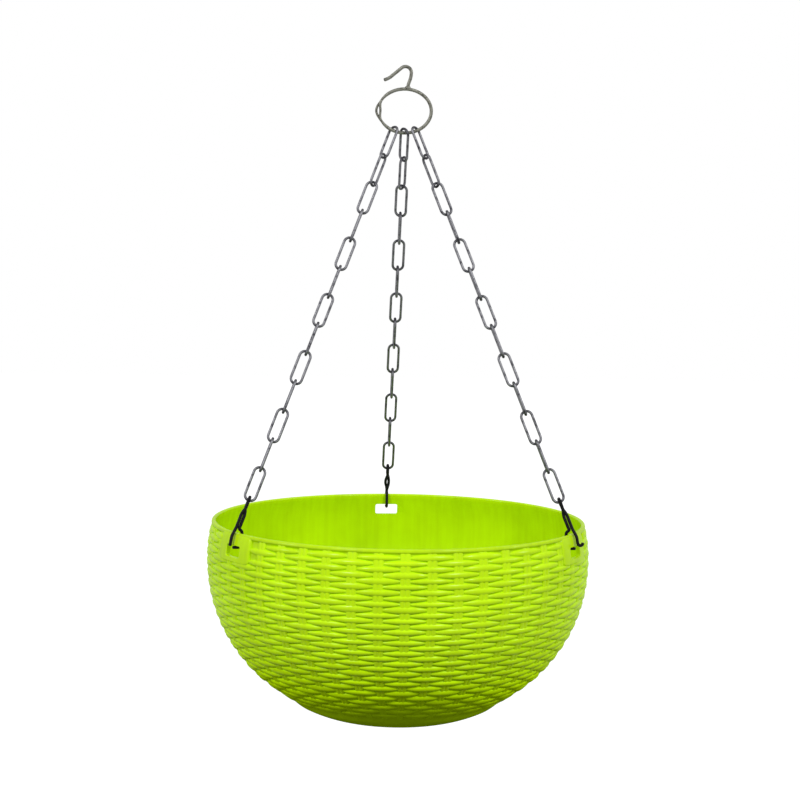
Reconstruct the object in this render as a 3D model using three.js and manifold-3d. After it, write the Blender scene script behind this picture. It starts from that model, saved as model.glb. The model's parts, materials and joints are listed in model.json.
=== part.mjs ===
// Hanging planter: a moulded basket bowl that three link chains carry from a wire ring with a hook.
// Millimetres, +Z up. The origin is the saddle under the hook's crown, straight above the bowl's axis.
// The ring faces -Y, and the chains run to the rim at 90, 210 and 330 degrees.
import * as THREE from 'three';
import { mergeVertices } from 'three/addons/utils/BufferGeometryUtils.js';
import Module from 'manifold-3d';

const wasm = await Module();
wasm.setup();

// Bowl: outside sizes, over the crests of the moulded weave
const BOWL_RADIUS = 125;
const RIM_RADIUS = 121.6;
const WIDEST_BELOW_RIM = 23;
const BOWL_HEIGHT = 127;
const BASE_RADIUS = 46;
const WALL = 2.8;
const RIM_ROUNDING = 1.1;
const FOOT_WIDTH = 7;
const FOOT_HEIGHT = 1.6;
// Roundness of the bowl's side and underside: 2 is a plain ellipse
const SIDE_ROUNDNESS = 1.4;
const UNDERSIDE_ROUNDNESS = 2.2;

// Weave moulded into the outside: strands over upright stakes, at alternate stakes from row to row
const STAKE_COUNT = 48;
const FIRST_STAKE = 267.96;
const LIP_HEIGHT = 0.4;
const FIRST_ROW = 4.7;
const ROW_PITCH = 3.5;
const WEAVE_TO_BASE = 15.5;
const WEAVE_RELIEF = 1.2;
// Share by which the lowest row is further from the first, and how late that stretch sets in
const LOW_ROW_STRETCH = 0.037;
const LOW_ROW_LATENESS = 6;

// Slots under the rim, one for each chain, each in a plain panel
const SLOT_WIDTH = 15.8;
const SLOT_HEIGHT = 7.2;
const SLOT_BELOW_RIM = 7.6;
const SLOT_CORNER = 1.2;
const PANEL_MARGIN = 10;
const PANEL_BELOW_SLOT = 3;

// Ring and hook, bent from the same wire
const RING_WIRE = 2.2;
const RING_WIDTH = 36.4;
const RING_HEIGHT = 30.2;
const LAP_WIRE = 1.6;
const LAP_EYE = 0.9;
const LAP_HALF_ANGLE = 27;
const HOOK_HEIGHT = 13.2;
const HOOK_BEND = 3.8;
const HOOK_WRAP = 130;
const HOOK_ARM = 10.6;
const HOOK_LIP = 3;
const HOOK_LIP_TURN = 20;
const HOOK_FOOT_OFFSET = 1.8;
const WELD_GAP = 0.3;

// Chain links
const LINK_COUNT = 13;
const LINK_WIRE = 1.7;
const LINK_WIDTH = 8.7;
const LINK_INNER_LENGTH = 20.2;
const LINK_GAP = 0.35;
const SIDE_SEAT = 7.1;
const RING_SEAT_GAP = 0.7;
// The first link sits askew on the ring wire, and the next ones turn back until they face the front
const FIRST_LINK_TURN = 52;
const LINKS_TO_STRAIGHTEN = 3;

// Rim clips: one wire bent double, twisted into a shank and parted over the rim
const CLIP_WIRE = 2;
const CLIP_GAP = 0.35;
const CLIP_SHANK = 20.5;
const CLIP_SPLIT_RISE = 3;
const CLIP_OUTER_LEG = 12;
const CLIP_LEG_FLARE = 1.2;
const CLIP_RIM_ROOM = 1.2;
const CLIP_BEND = 1.5;
const CLIP_CURL_RADIUS = 1.7;
const CLIP_CURL_TURN = 150;
const CLIP_NECK = 3;
const CLIP_TWIST_PITCH = 24;
const CLIP_SMALL_TWIST = 15;
const CLIP_EYE_HALF_TURN = 115;

// Facets
const SIDE_STEPS = 12;
const BASE_STEPS = 4;
const RING_STEPS = 64;
const RING_SIDES = 8;
const HOOK_STEM_STEPS = 7;
const HOOK_CROWN_STEPS = 10;
const LINK_BEND_STEPS = 6;
const LINK_SIDES = 6;
const CLIP_STEPS = 60;
const CLIP_SIDES = 6;
const CLIP_TWIST_STEPS = 6;
const CLIP_EYE_STEPS = 6;
const CLIP_CURL_STEPS = 4;
const SLOT_CORNER_STEPS = 3;
const MERGE_DISTANCE = 1e-4;
const SLOPE_STEP = 0.02;

// Finishes
const limePlastic = new THREE.MeshStandardMaterial({ color: 0xa8e000, roughness: 0.42, metalness: 0 });
const dullSteel = new THREE.MeshStandardMaterial({ color: 0x8d8f88, roughness: 0.45, metalness: 1 });
const chainSteel = new THREE.MeshStandardMaterial({ color: 0x9a9ca0, roughness: 0.32, metalness: 1 });
const blackWire = new THREE.MeshStandardMaterial({ color: 0x17181c, roughness: 0.5, metalness: 0.2 });

const radians = THREE.MathUtils.degToRad;
const smoothstep = THREE.MathUtils.smoothstep;
const vec = (x, y, z) => new THREE.Vector3(x, y, z);

// Heights and places worked out from the sizes above
const ringHalfWidth = (RING_WIDTH - RING_WIRE) / 2;
const ringHalfHeight = (RING_HEIGHT - RING_WIRE) / 2;
const crownHeight = RING_WIRE / 2;
const ringTop = -HOOK_HEIGHT;
const ringMiddle = ringTop - ringHalfHeight;
const linkRadius = (LINK_WIDTH - LINK_WIRE) / 2;
const linkReach = (LINK_INNER_LENGTH + LINK_WIRE) / 2;
const fullPitch = LINK_INNER_LENGTH - LINK_GAP;
const seatDrop = (RING_WIRE + LINK_WIRE) / 2 + RING_SEAT_GAP;
const eyeGrip = (LINK_WIRE + CLIP_WIRE) / 2 + LINK_GAP;
const bandRadius = RIM_RADIUS - WALL / 2;
const rowCount = Math.floor((BOWL_HEIGHT - FIRST_ROW - WEAVE_TO_BASE) / ROW_PITCH) + 1;
const columnCount = 2 * Math.round(STAKE_COUNT / 2);

// A point of the ring's oval, counted in radians from its lowest point towards +X
function ringPoint(angle) {
  return vec(ringHalfWidth * Math.sin(angle), 0, ringMiddle - ringHalfHeight * Math.cos(angle));
}

// The three chains: the slot's direction on the bowl, the seat of the first link on the ring, and whether
// the clip's outer leg ends in a curl
const sideSeatAngle = Math.asin(SIDE_SEAT / ringHalfWidth);
const chains = [
  { name: 'back', azimuth: radians(90), seat: ringPoint(0), turnSide: 1, curledLeg: false },
  { name: 'left', azimuth: radians(210), seat: ringPoint(-sideSeatAngle), turnSide: 1, curledLeg: false },
  { name: 'right', azimuth: radians(330), seat: ringPoint(sideSeatAngle), turnSide: -1, curledLeg: true },
];

// Length from the seat to the point where the clip's two wires part, with the chain drawn taut
function chainLength(pitch) {
  return 2 * linkReach - seatDrop + (LINK_COUNT - 1) * pitch - eyeGrip + CLIP_SHANK;
}

// The bowl hangs as low as the tightest chain lets it
function rimDropUnder(chain) {
  const x = bandRadius * Math.cos(chain.azimuth) - chain.seat.x;
  const y = bandRadius * Math.sin(chain.azimuth) - chain.seat.y;
  const drop = Math.sqrt(chainLength(fullPitch) ** 2 - x * x - y * y);
  return chain.seat.z - drop - CLIP_SPLIT_RISE;
}
const rimTop = Math.max(...chains.map(rimDropUnder));

// A round wire along a row of points. The section is carried along without twist.
function wireGeometry(points, radii, sides, closed) {
  const count = points.length;
  const tangents = points.map((point, i) => {
    const before = points[closed ? (i + count - 1) % count : Math.max(i - 1, 0)];
    const after = points[closed ? (i + 1) % count : Math.min(i + 1, count - 1)];
    return after.clone().sub(before).normalize();
  });
  const start = Math.abs(tangents[0].y) < 0.9 ? vec(0, 1, 0) : vec(1, 0, 0);
  let normal = start.addScaledVector(tangents[0], -start.dot(tangents[0])).normalize();
  const positions = [];
  points.forEach((point, i) => {
    normal = normal.clone().addScaledVector(tangents[i], -normal.dot(tangents[i])).normalize();
    const binormal = tangents[i].clone().cross(normal);
    for (let side = 0; side < sides; side += 1) {
      const angle = ((side + 0.5) / sides) * 2 * Math.PI;
      const corner = point.clone();
      corner.addScaledVector(normal, radii[i] * Math.cos(angle));
      corner.addScaledVector(binormal, radii[i] * Math.sin(angle));
      positions.push(corner.x, corner.y, corner.z);
    }
  });
  const indices = [];
  const rings = closed ? count : count - 1;
  for (let i = 0; i < rings; i += 1) {
    const here = i * sides;
    const next = ((i + 1) % count) * sides;
    for (let side = 0; side < sides; side += 1) {
      const after = (side + 1) % sides;
      indices.push(here + side, here + after, next + side);
      indices.push(here + after, next + after, next + side);
    }
  }
  if (!closed) {
    const last = (count - 1) * sides;
    for (let side = 1; side < sides - 1; side += 1) {
      indices.push(0, side + 1, side);
      indices.push(last, last + side, last + side + 1);
    }
  }
  const geometry = new THREE.BufferGeometry();
  geometry.setAttribute('position', new THREE.Float32BufferAttribute(positions, 3));
  geometry.setIndex(indices);
  return geometry;
}

// A closed geometry as a solid for cutting, with its shared corners merged
function solidFrom(geometry) {
  const bare = new THREE.BufferGeometry();
  bare.setAttribute('position', geometry.attributes.position.clone());
  if (geometry.index) bare.setIndex(geometry.index.clone());
  const merged = mergeVertices(bare, MERGE_DISTANCE);
  const corners = [];
  const index = merged.index.array;
  for (let i = 0; i < index.length; i += 3) {
    const [a, b, c] = [index[i], index[i + 1], index[i + 2]];
    if (a !== b && b !== c && c !== a) corners.push(a, b, c);
  }
  return new wasm.Manifold(new wasm.Mesh({
    numProp: 3,
    vertProperties: new Float32Array(merged.attributes.position.array),
    triVerts: new Uint32Array(corners),
  }));
}

function geometryFrom(solid) {
  const mesh = solid.getMesh();
  const geometry = new THREE.BufferGeometry();
  geometry.setAttribute('position', new THREE.Float32BufferAttribute(mesh.vertProperties, 3));
  geometry.setIndex(Array.from(mesh.triVerts));
  return geometry;
}

// The outside drawn in from the widest level to the rim, as a parabola. Depth is below the rim.
function upperRadius(depth) {
  const rise = 1 - depth / WIDEST_BELOW_RIM;
  return BOWL_RADIUS - (BOWL_RADIUS - RIM_RADIUS) * rise * rise;
}

// The outside below the widest level, a quarter of a superellipse that runs flat into the base
function lowerRadius(depth) {
  const sunk = (depth - WIDEST_BELOW_RIM) / (BOWL_HEIGHT - WIDEST_BELOW_RIM);
  const sine = Math.min(sunk ** (UNDERSIDE_ROUNDNESS / 2), 1);
  const cosine = Math.sqrt(1 - sine * sine);
  return BASE_RADIUS + (BOWL_RADIUS - BASE_RADIUS) * cosine ** (2 / SIDE_ROUNDNESS);
}

function outerRadius(depth) {
  return depth < WIDEST_BELOW_RIM ? upperRadius(depth) : lowerRadius(depth);
}

// A point of the outside's section, sunk square to the wall: X is the radius, Y the height over the rim
function outerPoint(depth, sunk) {
  const slope = (outerRadius(depth + SLOPE_STEP) - outerRadius(depth - SLOPE_STEP)) / (2 * SLOPE_STEP);
  const stretch = Math.hypot(1, slope);
  return new THREE.Vector2(outerRadius(depth) - sunk / stretch, -depth - (sunk * slope) / stretch);
}

// The inside below the widest level, with the same roundness, down to the top of the floor
function innerSide(bottom) {
  const base = BASE_RADIUS - WALL;
  return Array.from({ length: SIDE_STEPS + 1 }, (unused, i) => {
    const angle = (i / SIDE_STEPS) * (Math.PI / 2);
    const across = Math.max(Math.cos(angle), 0) ** (2 / SIDE_ROUNDNESS);
    const down = Math.sin(angle) ** (2 / UNDERSIDE_ROUNDNESS);
    const radius = base + (BOWL_RADIUS - BASE_RADIUS) * across;
    return new THREE.Vector2(radius, -WIDEST_BELOW_RIM + (bottom + WIDEST_BELOW_RIM) * down);
  });
}

function rowDepth(row) {
  const stretch = 1 + LOW_ROW_STRETCH * (row / (rowCount - 1)) ** LOW_ROW_LATENESS;
  return FIRST_ROW + ROW_PITCH * row * stretch;
}

function stakeAngle(column) {
  return radians(FIRST_STAKE) + (2 * Math.PI * column) / columnCount;
}

// True on the plain panel round a slot
function onPanel(angle, depth) {
  const halfWidth = SLOT_WIDTH / 2 + PANEL_MARGIN;
  const isAcross = chains.some((chain) => {
    const turn = angle - chain.azimuth;
    return Math.cos(turn) > 0 && Math.abs(Math.sin(turn)) * RIM_RADIUS < halfWidth;
  });
  return isAcross && depth < SLOT_BELOW_RIM + SLOT_HEIGHT + PANEL_BELOW_SLOT;
}

// One row of the weave: a strand stands proud over every other stake, and the wall is sunk at the rest
function weaveRing(row) {
  const depth = rowDepth(row);
  return Array.from({ length: columnCount }, (unused, column) => {
    const isStrand = (row + column) % 2 === 1;
    const sunk = isStrand || onPanel(stakeAngle(column), depth) ? 0 : WEAVE_RELIEF;
    return { section: outerPoint(depth, sunk), isStrand };
  });
}

// Sideways room that a wire's middle line needs from the sloping wall, for a gap square to the wall
function wireOffset(depth) {
  const slope = (2 * (BOWL_RADIUS - RIM_RADIUS) * (1 - depth / WIDEST_BELOW_RIM)) / WIDEST_BELOW_RIM;
  return (CLIP_WIRE / 2 + CLIP_GAP) * Math.hypot(1, slope);
}

// A closed body of rings of points round the axis, from the underside's middle to the inside's middle.
// Between a strand and the sunk places round it, each quad is parted along the sunk places.
function turnedGeometry(rings) {
  const positions = rings.flatMap((ring) => ring.flatMap(({ section }, column) => {
    const angle = stakeAngle(column);
    return [section.x * Math.cos(angle), section.x * Math.sin(angle), section.y];
  }));
  const underside = positions.length / 3;
  const inside = underside + 1;
  positions.push(0, 0, rings[0][0].section.y, 0, 0, rings.at(-1)[0].section.y);
  const last = underside - columnCount;
  const indices = [];
  for (let column = 0; column < columnCount; column += 1) {
    const after = (column + 1) % columnCount;
    indices.push(underside, after, column);
    indices.push(last + column, last + after, inside);
    rings.slice(0, -1).forEach((ring, i) => {
      const [here, beside] = [i * columnCount + column, i * columnCount + after];
      const [above, across] = [here + columnCount, beside + columnCount];
      if (ring[column].isStrand) indices.push(here, beside, above, beside, across, above);
      else indices.push(here, beside, across, here, across, above);
    });
  }
  const geometry = new THREE.BufferGeometry();
  geometry.setAttribute('position', new THREE.Float32BufferAttribute(positions, 3));
  geometry.setIndex(indices);
  return geometry;
}

function bowlGeometry() {
  const floor = -BOWL_HEIGHT + FOOT_HEIGHT;
  const footInside = BASE_RADIUS - FOOT_WIDTH;
  const upperDepths = [0.15, 0.4, 0.7].map((share) => share * WIDEST_BELOW_RIM);
  const plain = (section) => Array(columnCount).fill({ section, isStrand: false });
  const lowestRow = rowDepth(rowCount - 1);
  const baseDepths = Array.from(
    { length: BASE_STEPS },
    (unused, i) => BOWL_HEIGHT - ((BOWL_HEIGHT - lowestRow) * i) / BASE_STEPS,
  );
  const rows = Array.from({ length: rowCount }, (unused, i) => weaveRing(rowCount - 1 - i));
  const rings = [
    plain(new THREE.Vector2(footInside - FOOT_HEIGHT, floor)),
    plain(new THREE.Vector2(footInside, -BOWL_HEIGHT)),
    ...baseDepths.map((depth) => plain(outerPoint(depth, 0))),
    ...rows,
    plain(outerPoint(RIM_ROUNDING + LIP_HEIGHT, 0)),
    plain(new THREE.Vector2(RIM_RADIUS, -RIM_ROUNDING)),
    plain(new THREE.Vector2(RIM_RADIUS - RIM_ROUNDING, 0)),
    plain(new THREE.Vector2(RIM_RADIUS - WALL + RIM_ROUNDING, 0)),
    plain(new THREE.Vector2(RIM_RADIUS - WALL, -RIM_ROUNDING)),
    ...upperDepths.map((depth) => plain(new THREE.Vector2(upperRadius(depth) - WALL, -depth))),
    ...innerSide(floor + WALL).map(plain),
  ];
  let bowl = solidFrom(turnedGeometry(rings));
  chains.forEach((chain) => {
    bowl = bowl.subtract(solidFrom(slotCutter(chain)));
  });
  return geometryFrom(bowl);
}

// A bar with rounded corners that cuts one slot straight out through the wall
function slotCutter(chain) {
  const halfWidth = SLOT_WIDTH / 2;
  const halfHeight = SLOT_HEIGHT / 2;
  const shape = new THREE.Shape();
  shape.moveTo(-halfWidth + SLOT_CORNER, -halfHeight);
  shape.lineTo(halfWidth - SLOT_CORNER, -halfHeight);
  shape.absarc(halfWidth - SLOT_CORNER, -halfHeight + SLOT_CORNER, SLOT_CORNER, -Math.PI / 2, 0);
  shape.absarc(halfWidth - SLOT_CORNER, halfHeight - SLOT_CORNER, SLOT_CORNER, 0, Math.PI / 2);
  shape.absarc(-halfWidth + SLOT_CORNER, halfHeight - SLOT_CORNER, SLOT_CORNER, Math.PI / 2, Math.PI);
  shape.absarc(-halfWidth + SLOT_CORNER, -halfHeight + SLOT_CORNER, SLOT_CORNER, Math.PI, 1.5 * Math.PI);
  const middleDepth = SLOT_BELOW_RIM + halfHeight;
  const wallMiddle = upperRadius(middleDepth) - WALL / 2;
  const wallDrift = upperRadius(SLOT_BELOW_RIM + SLOT_HEIGHT) - upperRadius(SLOT_BELOW_RIM);
  const reach = Math.abs(wallDrift) + 3 * WALL;
  const cutter = new THREE.ExtrudeGeometry(shape, {
    depth: 2 * reach,
    bevelEnabled: false,
    curveSegments: SLOT_CORNER_STEPS,
  });
  cutter.translate(0, 0, -reach);
  cutter.rotateX(Math.PI / 2);
  cutter.rotateZ(chain.azimuth + Math.PI / 2);
  cutter.translate(wallMiddle * Math.cos(chain.azimuth), wallMiddle * Math.sin(chain.azimuth), -middleDepth);
  return cutter;
}

// Ring: the wire goes once round, and its two thinned ends lap past each other at -X and bow apart
function ringGeometry() {
  const half = radians(LAP_HALF_ANGLE);
  const bow = (LAP_EYE + LAP_WIRE) / 2;
  const aside = (LAP_WIRE + LINK_GAP) / 2;
  const first = -Math.PI / 2 - half;
  const last = 1.5 * Math.PI + half;
  const points = [];
  const radii = [];
  for (let i = 0; i <= RING_STEPS; i += 1) {
    const angle = first + (last - first) * (i / RING_STEPS);
    const end = angle < Math.PI / 2 ? -1 : 1;
    const lapMiddle = end < 0 ? -Math.PI / 2 : 1.5 * Math.PI;
    const fromLap = Math.abs(angle - lapMiddle) / half;
    const inLap = fromLap < 1 ? Math.cos((fromLap * Math.PI) / 2) ** 2 : 0;
    const leaving = 1 - smoothstep(fromLap, 1, 2);
    const outward = vec(Math.sin(angle) / ringHalfWidth, 0, -Math.cos(angle) / ringHalfHeight).normalize();
    const point = ringPoint(angle).addScaledVector(outward, end * bow * inLap);
    point.y += end * aside * leaving;
    points.push(point);
    radii.push((RING_WIRE + (LAP_WIRE - RING_WIRE) * leaving) / 2);
  }
  return wireGeometry(points, radii, RING_SIDES, false);
}

// Hook: up from its weld on the ring, round the crown and down the open arm to a turned-out lip
function hookGeometry() {
  const centre = vec(0, 0, crownHeight - HOOK_BEND);
  const wrap = radians(HOOK_WRAP);
  const crown = [];
  for (let i = 0; i <= HOOK_CROWN_STEPS; i += 1) {
    const angle = (wrap * i) / HOOK_CROWN_STEPS;
    crown.push(vec(HOOK_BEND * Math.cos(angle), 0, centre.z + HOOK_BEND * Math.sin(angle)));
  }
  const foot = vec(HOOK_FOOT_OFFSET, 0, ringTop + RING_WIRE / 2 + WELD_GAP);
  const stem = new THREE.CubicBezierCurve3(
    foot,
    vec(foot.x, 0, foot.z + (crown[0].z - foot.z) / 3),
    vec(crown[0].x, 0, foot.z + (crown[0].z - foot.z) / 2),
    crown[0],
  );
  const along = vec(-Math.sin(wrap), 0, Math.cos(wrap));
  const armStart = crown[HOOK_CROWN_STEPS];
  const armEnd = armStart.clone().addScaledVector(along, HOOK_ARM);
  const lipAngle = wrap - radians(HOOK_LIP_TURN);
  const lipAlong = vec(-Math.sin(lipAngle), 0, Math.cos(lipAngle));
  const bend = HOOK_LIP / 3;
  const points = [
    ...stem.getPoints(HOOK_STEM_STEPS).slice(0, -1),
    ...crown,
    armStart.clone().addScaledVector(along, HOOK_ARM / 2),
    armEnd.clone().addScaledVector(along, -bend),
    armEnd.clone().addScaledVector(lipAlong, bend),
    armEnd.clone().addScaledVector(lipAlong, HOOK_LIP),
  ];
  const radii = points.map(() => RING_WIRE / 2);
  return wireGeometry(points, radii, RING_SIDES, false);
}

// One link, long in Z and wide in X, with round ends
function linkGeometry() {
  const half = linkReach - linkRadius;
  const points = [];
  for (const end of [1, -1]) {
    for (let i = 0; i <= LINK_BEND_STEPS; i += 1) {
      const angle = (Math.PI * i) / LINK_BEND_STEPS;
      points.push(vec(end * linkRadius * Math.cos(angle), 0, end * (half + linkRadius * Math.sin(angle))));
    }
  }
  const radii = points.map(() => LINK_WIRE / 2);
  return wireGeometry(points, radii, LINK_SIDES, true);
}

// Turn of a link about its chain, in degrees from facing the front: every other link is crosswise
function linkTurn(number, turnSide) {
  const left = Math.max(LINKS_TO_STRAIGHTEN + 1 - number, 0) / LINKS_TO_STRAIGHTEN;
  const crosswise = number % 2 === 0 ? 90 : 0;
  return crosswise - turnSide * FIRST_LINK_TURN * left;
}

// Rim clip in its chain's own frame: Z runs up the chain from the seat, and the wires part at Z = -length.
// Out, along and up are the slot's outward, sideways and vertical directions in that frame.
function clipGeometry(length, out, up, curledLeg) {
  const pair = (CLIP_WIRE + CLIP_GAP) / 2;
  const eyeRadius = LINK_WIRE / 2 + LINK_GAP + CLIP_WIRE / 2;
  const part = vec(0, 0, -length);
  const outward = vec(out.x, out.y, 0).normalize();
  const sideways = vec(-outward.y, outward.x, 0);
  const eyeMiddle = CLIP_SHANK - eyeRadius;
  const twistTop = eyeMiddle - eyeRadius - CLIP_NECK;
  // The eye stands crosswise to the last link, which faces the front. The pair leaves the rim in the slot's
  // direction and twists the shorter way to the eye, or by a half turn where it needs hardly any twist.
  const eyeTurn = Math.PI / 2 - Math.atan2(outward.y, outward.x);
  const leastTwist = eyeTurn - Math.PI * Math.round(eyeTurn / Math.PI);
  const twist = Math.abs(leastTwist) < radians(CLIP_SMALL_TWIST) ? leastTwist + Math.PI : leastTwist;
  const twistRate = Math.max((2 * Math.PI) / CLIP_TWIST_PITCH, Math.abs(twist) / twistTop);
  const strand = (height, side) => {
    const turn = Math.sign(twist) * Math.max(Math.abs(twist) - twistRate * (twistTop - height), 0);
    const point = part.clone().addScaledVector(outward, side * pair * Math.cos(turn));
    point.addScaledVector(sideways, side * pair * Math.sin(turn));
    point.z += height;
    return point;
  };
  const strandPoints = (side) => Array.from(
    { length: CLIP_TWIST_STEPS + 1 },
    (unused, i) => strand((twistTop * i) / CLIP_TWIST_STEPS, side),
  );
  const eyeSide = vec(0, Math.sign(strand(twistTop, 1).y), 0);
  const eye = Array.from({ length: CLIP_EYE_STEPS + 1 }, (unused, i) => {
    const angle = radians(CLIP_EYE_HALF_TURN) * (1 - (2 * i) / CLIP_EYE_STEPS);
    const point = part.clone().addScaledVector(eyeSide, eyeRadius * Math.sin(angle));
    point.z += eyeMiddle + eyeRadius * Math.cos(angle);
    return point;
  });
  const atWall = (radius, depth) => part.clone()
    .addScaledVector(out, radius - bandRadius)
    .addScaledVector(up, -CLIP_SPLIT_RISE - depth);
  const outerLeg = (depth, flare) => atWall(upperRadius(depth) + CLIP_WIRE / 2 + flare, depth);
  const footDepth = SLOT_BELOW_RIM + CLIP_GAP + CLIP_WIRE / 2;
  // The inner leg hangs straight down, clear of the wall at the rim and at the foot
  const legRadii = [0, footDepth].map((depth) => upperRadius(depth) - WALL - wireOffset(depth));
  const innerLeg = (depth) => atWall(Math.min(...legRadii), depth);
  // A curled leg turns as low as a plain one ends
  const legReach = CLIP_OUTER_LEG * up.z - CLIP_SPLIT_RISE - pair * outward.dot(up);
  const legDepth = legReach - (curledLeg ? CLIP_CURL_RADIUS : 0);
  const legEnd = outerLeg(legDepth, CLIP_LEG_FLARE);
  const curl = Array.from({ length: CLIP_CURL_STEPS }, (unused, i) => {
    const angle = (radians(CLIP_CURL_TURN) * (i + 1)) / CLIP_CURL_STEPS;
    const point = legEnd.clone().addScaledVector(outward, CLIP_CURL_RADIUS * (1 - Math.cos(angle)));
    point.z -= CLIP_CURL_RADIUS * Math.sin(angle);
    return point;
  });
  const route = new THREE.CatmullRomCurve3([
    ...(curledLeg ? curl.toReversed() : []),
    legEnd,
    outerLeg(legDepth / 4, CLIP_RIM_ROOM),
    ...strandPoints(1),
    ...eye,
    ...strandPoints(-1).toReversed(),
    innerLeg(-CLIP_WIRE / 4),
    innerLeg(SLOT_BELOW_RIM / 2),
    innerLeg(footDepth - CLIP_BEND),
    innerLeg(footDepth).addScaledVector(out, CLIP_BEND),
    atWall(upperRadius(footDepth) - CLIP_GAP, footDepth),
  ], false, 'centripetal');
  const points = route.getSpacedPoints(CLIP_STEPS);
  const radii = points.map(() => CLIP_WIRE / 2);
  return wireGeometry(points, radii, CLIP_SIDES, false);
}

function piece(name, geometry, material) {
  const mesh = new THREE.Mesh(geometry, material);
  mesh.name = name;
  return mesh;
}

// One chain with its clip, in a frame that hangs from its seat: Z up the chain, X across the front
function chainGroup(chain, link) {
  const group = new THREE.Group();
  const part = vec(bandRadius * Math.cos(chain.azimuth), bandRadius * Math.sin(chain.azimuth), 0);
  part.z = rimTop + CLIP_SPLIT_RISE;
  const upChain = chain.seat.clone().sub(part);
  const length = upChain.length();
  upChain.normalize();
  const away = vec(0, 1, 0).addScaledVector(upChain, -upChain.y).normalize();
  const across = away.clone().cross(upChain);
  const turn = new THREE.Matrix4().makeBasis(across, away, upChain);
  group.quaternion.setFromRotationMatrix(turn);
  group.position.copy(chain.seat);
  const pitch = fullPitch - (chainLength(fullPitch) - length) / (LINK_COUNT - 1);
  for (let number = 1; number <= LINK_COUNT; number += 1) {
    const label = String(number).padStart(2, '0');
    const mesh = piece(`${chain.name}_chain_link_${label}`, link, chainSteel);
    mesh.position.z = seatDrop - linkReach - (number - 1) * pitch;
    mesh.rotation.z = radians(linkTurn(number, chain.turnSide));
    group.add(mesh);
  }
  const inFrame = group.quaternion.clone().invert();
  const out = vec(Math.cos(chain.azimuth), Math.sin(chain.azimuth), 0).applyQuaternion(inFrame);
  const up = vec(0, 0, 1).applyQuaternion(inFrame);
  group.add(piece(`${chain.name}_rim_clip`, clipGeometry(length, out, up, chain.curledLeg), blackWire));
  return group;
}

const planter = new THREE.Group();
planter.add(piece('hanging_hook', hookGeometry(), dullSteel));
planter.add(piece('hanging_ring', ringGeometry(), dullSteel));
const link = linkGeometry();
chains.forEach((chain) => planter.add(chainGroup(chain, link)));
const bowl = piece('planter_bowl', bowlGeometry(), limePlastic);
bowl.position.z = rimTop;
planter.add(bowl);

export default planter;
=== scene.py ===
"""A hanging basket planter: a moulded lime-green bowl with a weave relief, on three link chains.

Every piece is a surface worked out in metres from the sizes in the property groups, in the frame of
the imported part: +Z up, with the origin in the saddle under the hook's crown. The bowl, its weave, the
ring, the hook, the links and the clips each stand for the solid of the same piece.
"""

import json
import math

import bpy
import numpy as np
from bpy.props import FloatProperty, FloatVectorProperty, IntProperty, PointerProperty
from mathutils import Matrix, Vector


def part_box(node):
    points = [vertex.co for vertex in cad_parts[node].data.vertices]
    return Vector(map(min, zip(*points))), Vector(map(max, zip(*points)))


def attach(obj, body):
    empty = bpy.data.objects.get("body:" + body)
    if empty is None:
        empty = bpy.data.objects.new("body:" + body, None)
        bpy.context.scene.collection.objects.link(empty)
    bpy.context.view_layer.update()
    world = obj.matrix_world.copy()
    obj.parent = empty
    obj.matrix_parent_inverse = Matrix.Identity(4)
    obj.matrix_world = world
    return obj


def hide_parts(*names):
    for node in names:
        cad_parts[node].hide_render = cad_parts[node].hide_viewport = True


bl_info = {
    "name": "Hanging basket planter",
    "version": (1, 0, 0),
    "blender": (4, 5, 0),
    "location": "3D View > Sidebar > Planter",
    "description": "Builds a moulded basket planter with its chains, clips, ring and hook",
    "category": "Add Mesh",
}

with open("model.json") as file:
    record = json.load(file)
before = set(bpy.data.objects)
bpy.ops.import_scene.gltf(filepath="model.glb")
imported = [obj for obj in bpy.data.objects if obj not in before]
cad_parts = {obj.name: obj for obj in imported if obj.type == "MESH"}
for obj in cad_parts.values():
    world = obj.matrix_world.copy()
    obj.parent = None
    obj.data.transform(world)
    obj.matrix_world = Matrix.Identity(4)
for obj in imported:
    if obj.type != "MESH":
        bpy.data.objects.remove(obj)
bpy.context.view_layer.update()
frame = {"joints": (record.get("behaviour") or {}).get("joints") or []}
BOWL_LOW, BOWL_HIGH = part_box("planter_bowl")
JOINTS = {joint["name"]: joint for joint in frame["joints"]}

# The three chains: the slot's direction on the bowl, the side to which the first links turn, and whether
# the clip's outer leg ends in a curl
CHAINS = {
    "back": {"azimuth": math.radians(90), "turn_side": 1, "curled_leg": False},
    "left": {"azimuth": math.radians(210), "turn_side": 1, "curled_leg": False},
    "right": {"azimuth": math.radians(330), "turn_side": -1, "curled_leg": True},
}
LINK_COUNT = 13
LINKS_TO_STRAIGHTEN = 3

# Facets
BOWL_SEGMENTS = 240
SIDE_ROWS = 64
RIM_ROWS = 6
FLAT_ROWS = 8
LIP_ROWS = 12
OUTLINE_SAMPLES = 600
STAKE_RINGS = 56
STRAND_RINGS = 7
PANEL_POINTS = 96
PANEL_ROWS = 6
PANEL_EDGE_ROWS = 5
CORNER_POINTS = 9
RING_STEPS = 180
HOOK_STEPS = 120
LINK_STEPS = 84
CLIP_STEPS = 220
WIRE_SIDES = 16
BEND_POINTS = 40
ELBOW_POINTS = 12
PAIR_POINTS = 7
EYE_POINTS = 7
CURL_POINTS = 4
SPAN_POINTS = 24
WELD_RINGS = 14
WELD_SIDES = 20
CAP_ANGLES = np.radians([70, 45, 20])
RELIEF_ANGLES = np.radians([0, 30, 60, 90, 180, 270, 300, 330])
SHARP_EDGE = math.radians(38)

# Half the step in depth over which the wall's slope is taken
SLOPE_STEP = 0.00002
# Radius of the innermost ring on the underside and on the inside floor
MIDDLE_RING = 0.006
# Width of the narrow face at the foot's outer edge
FOOT_EDGE = 0.0006
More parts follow.
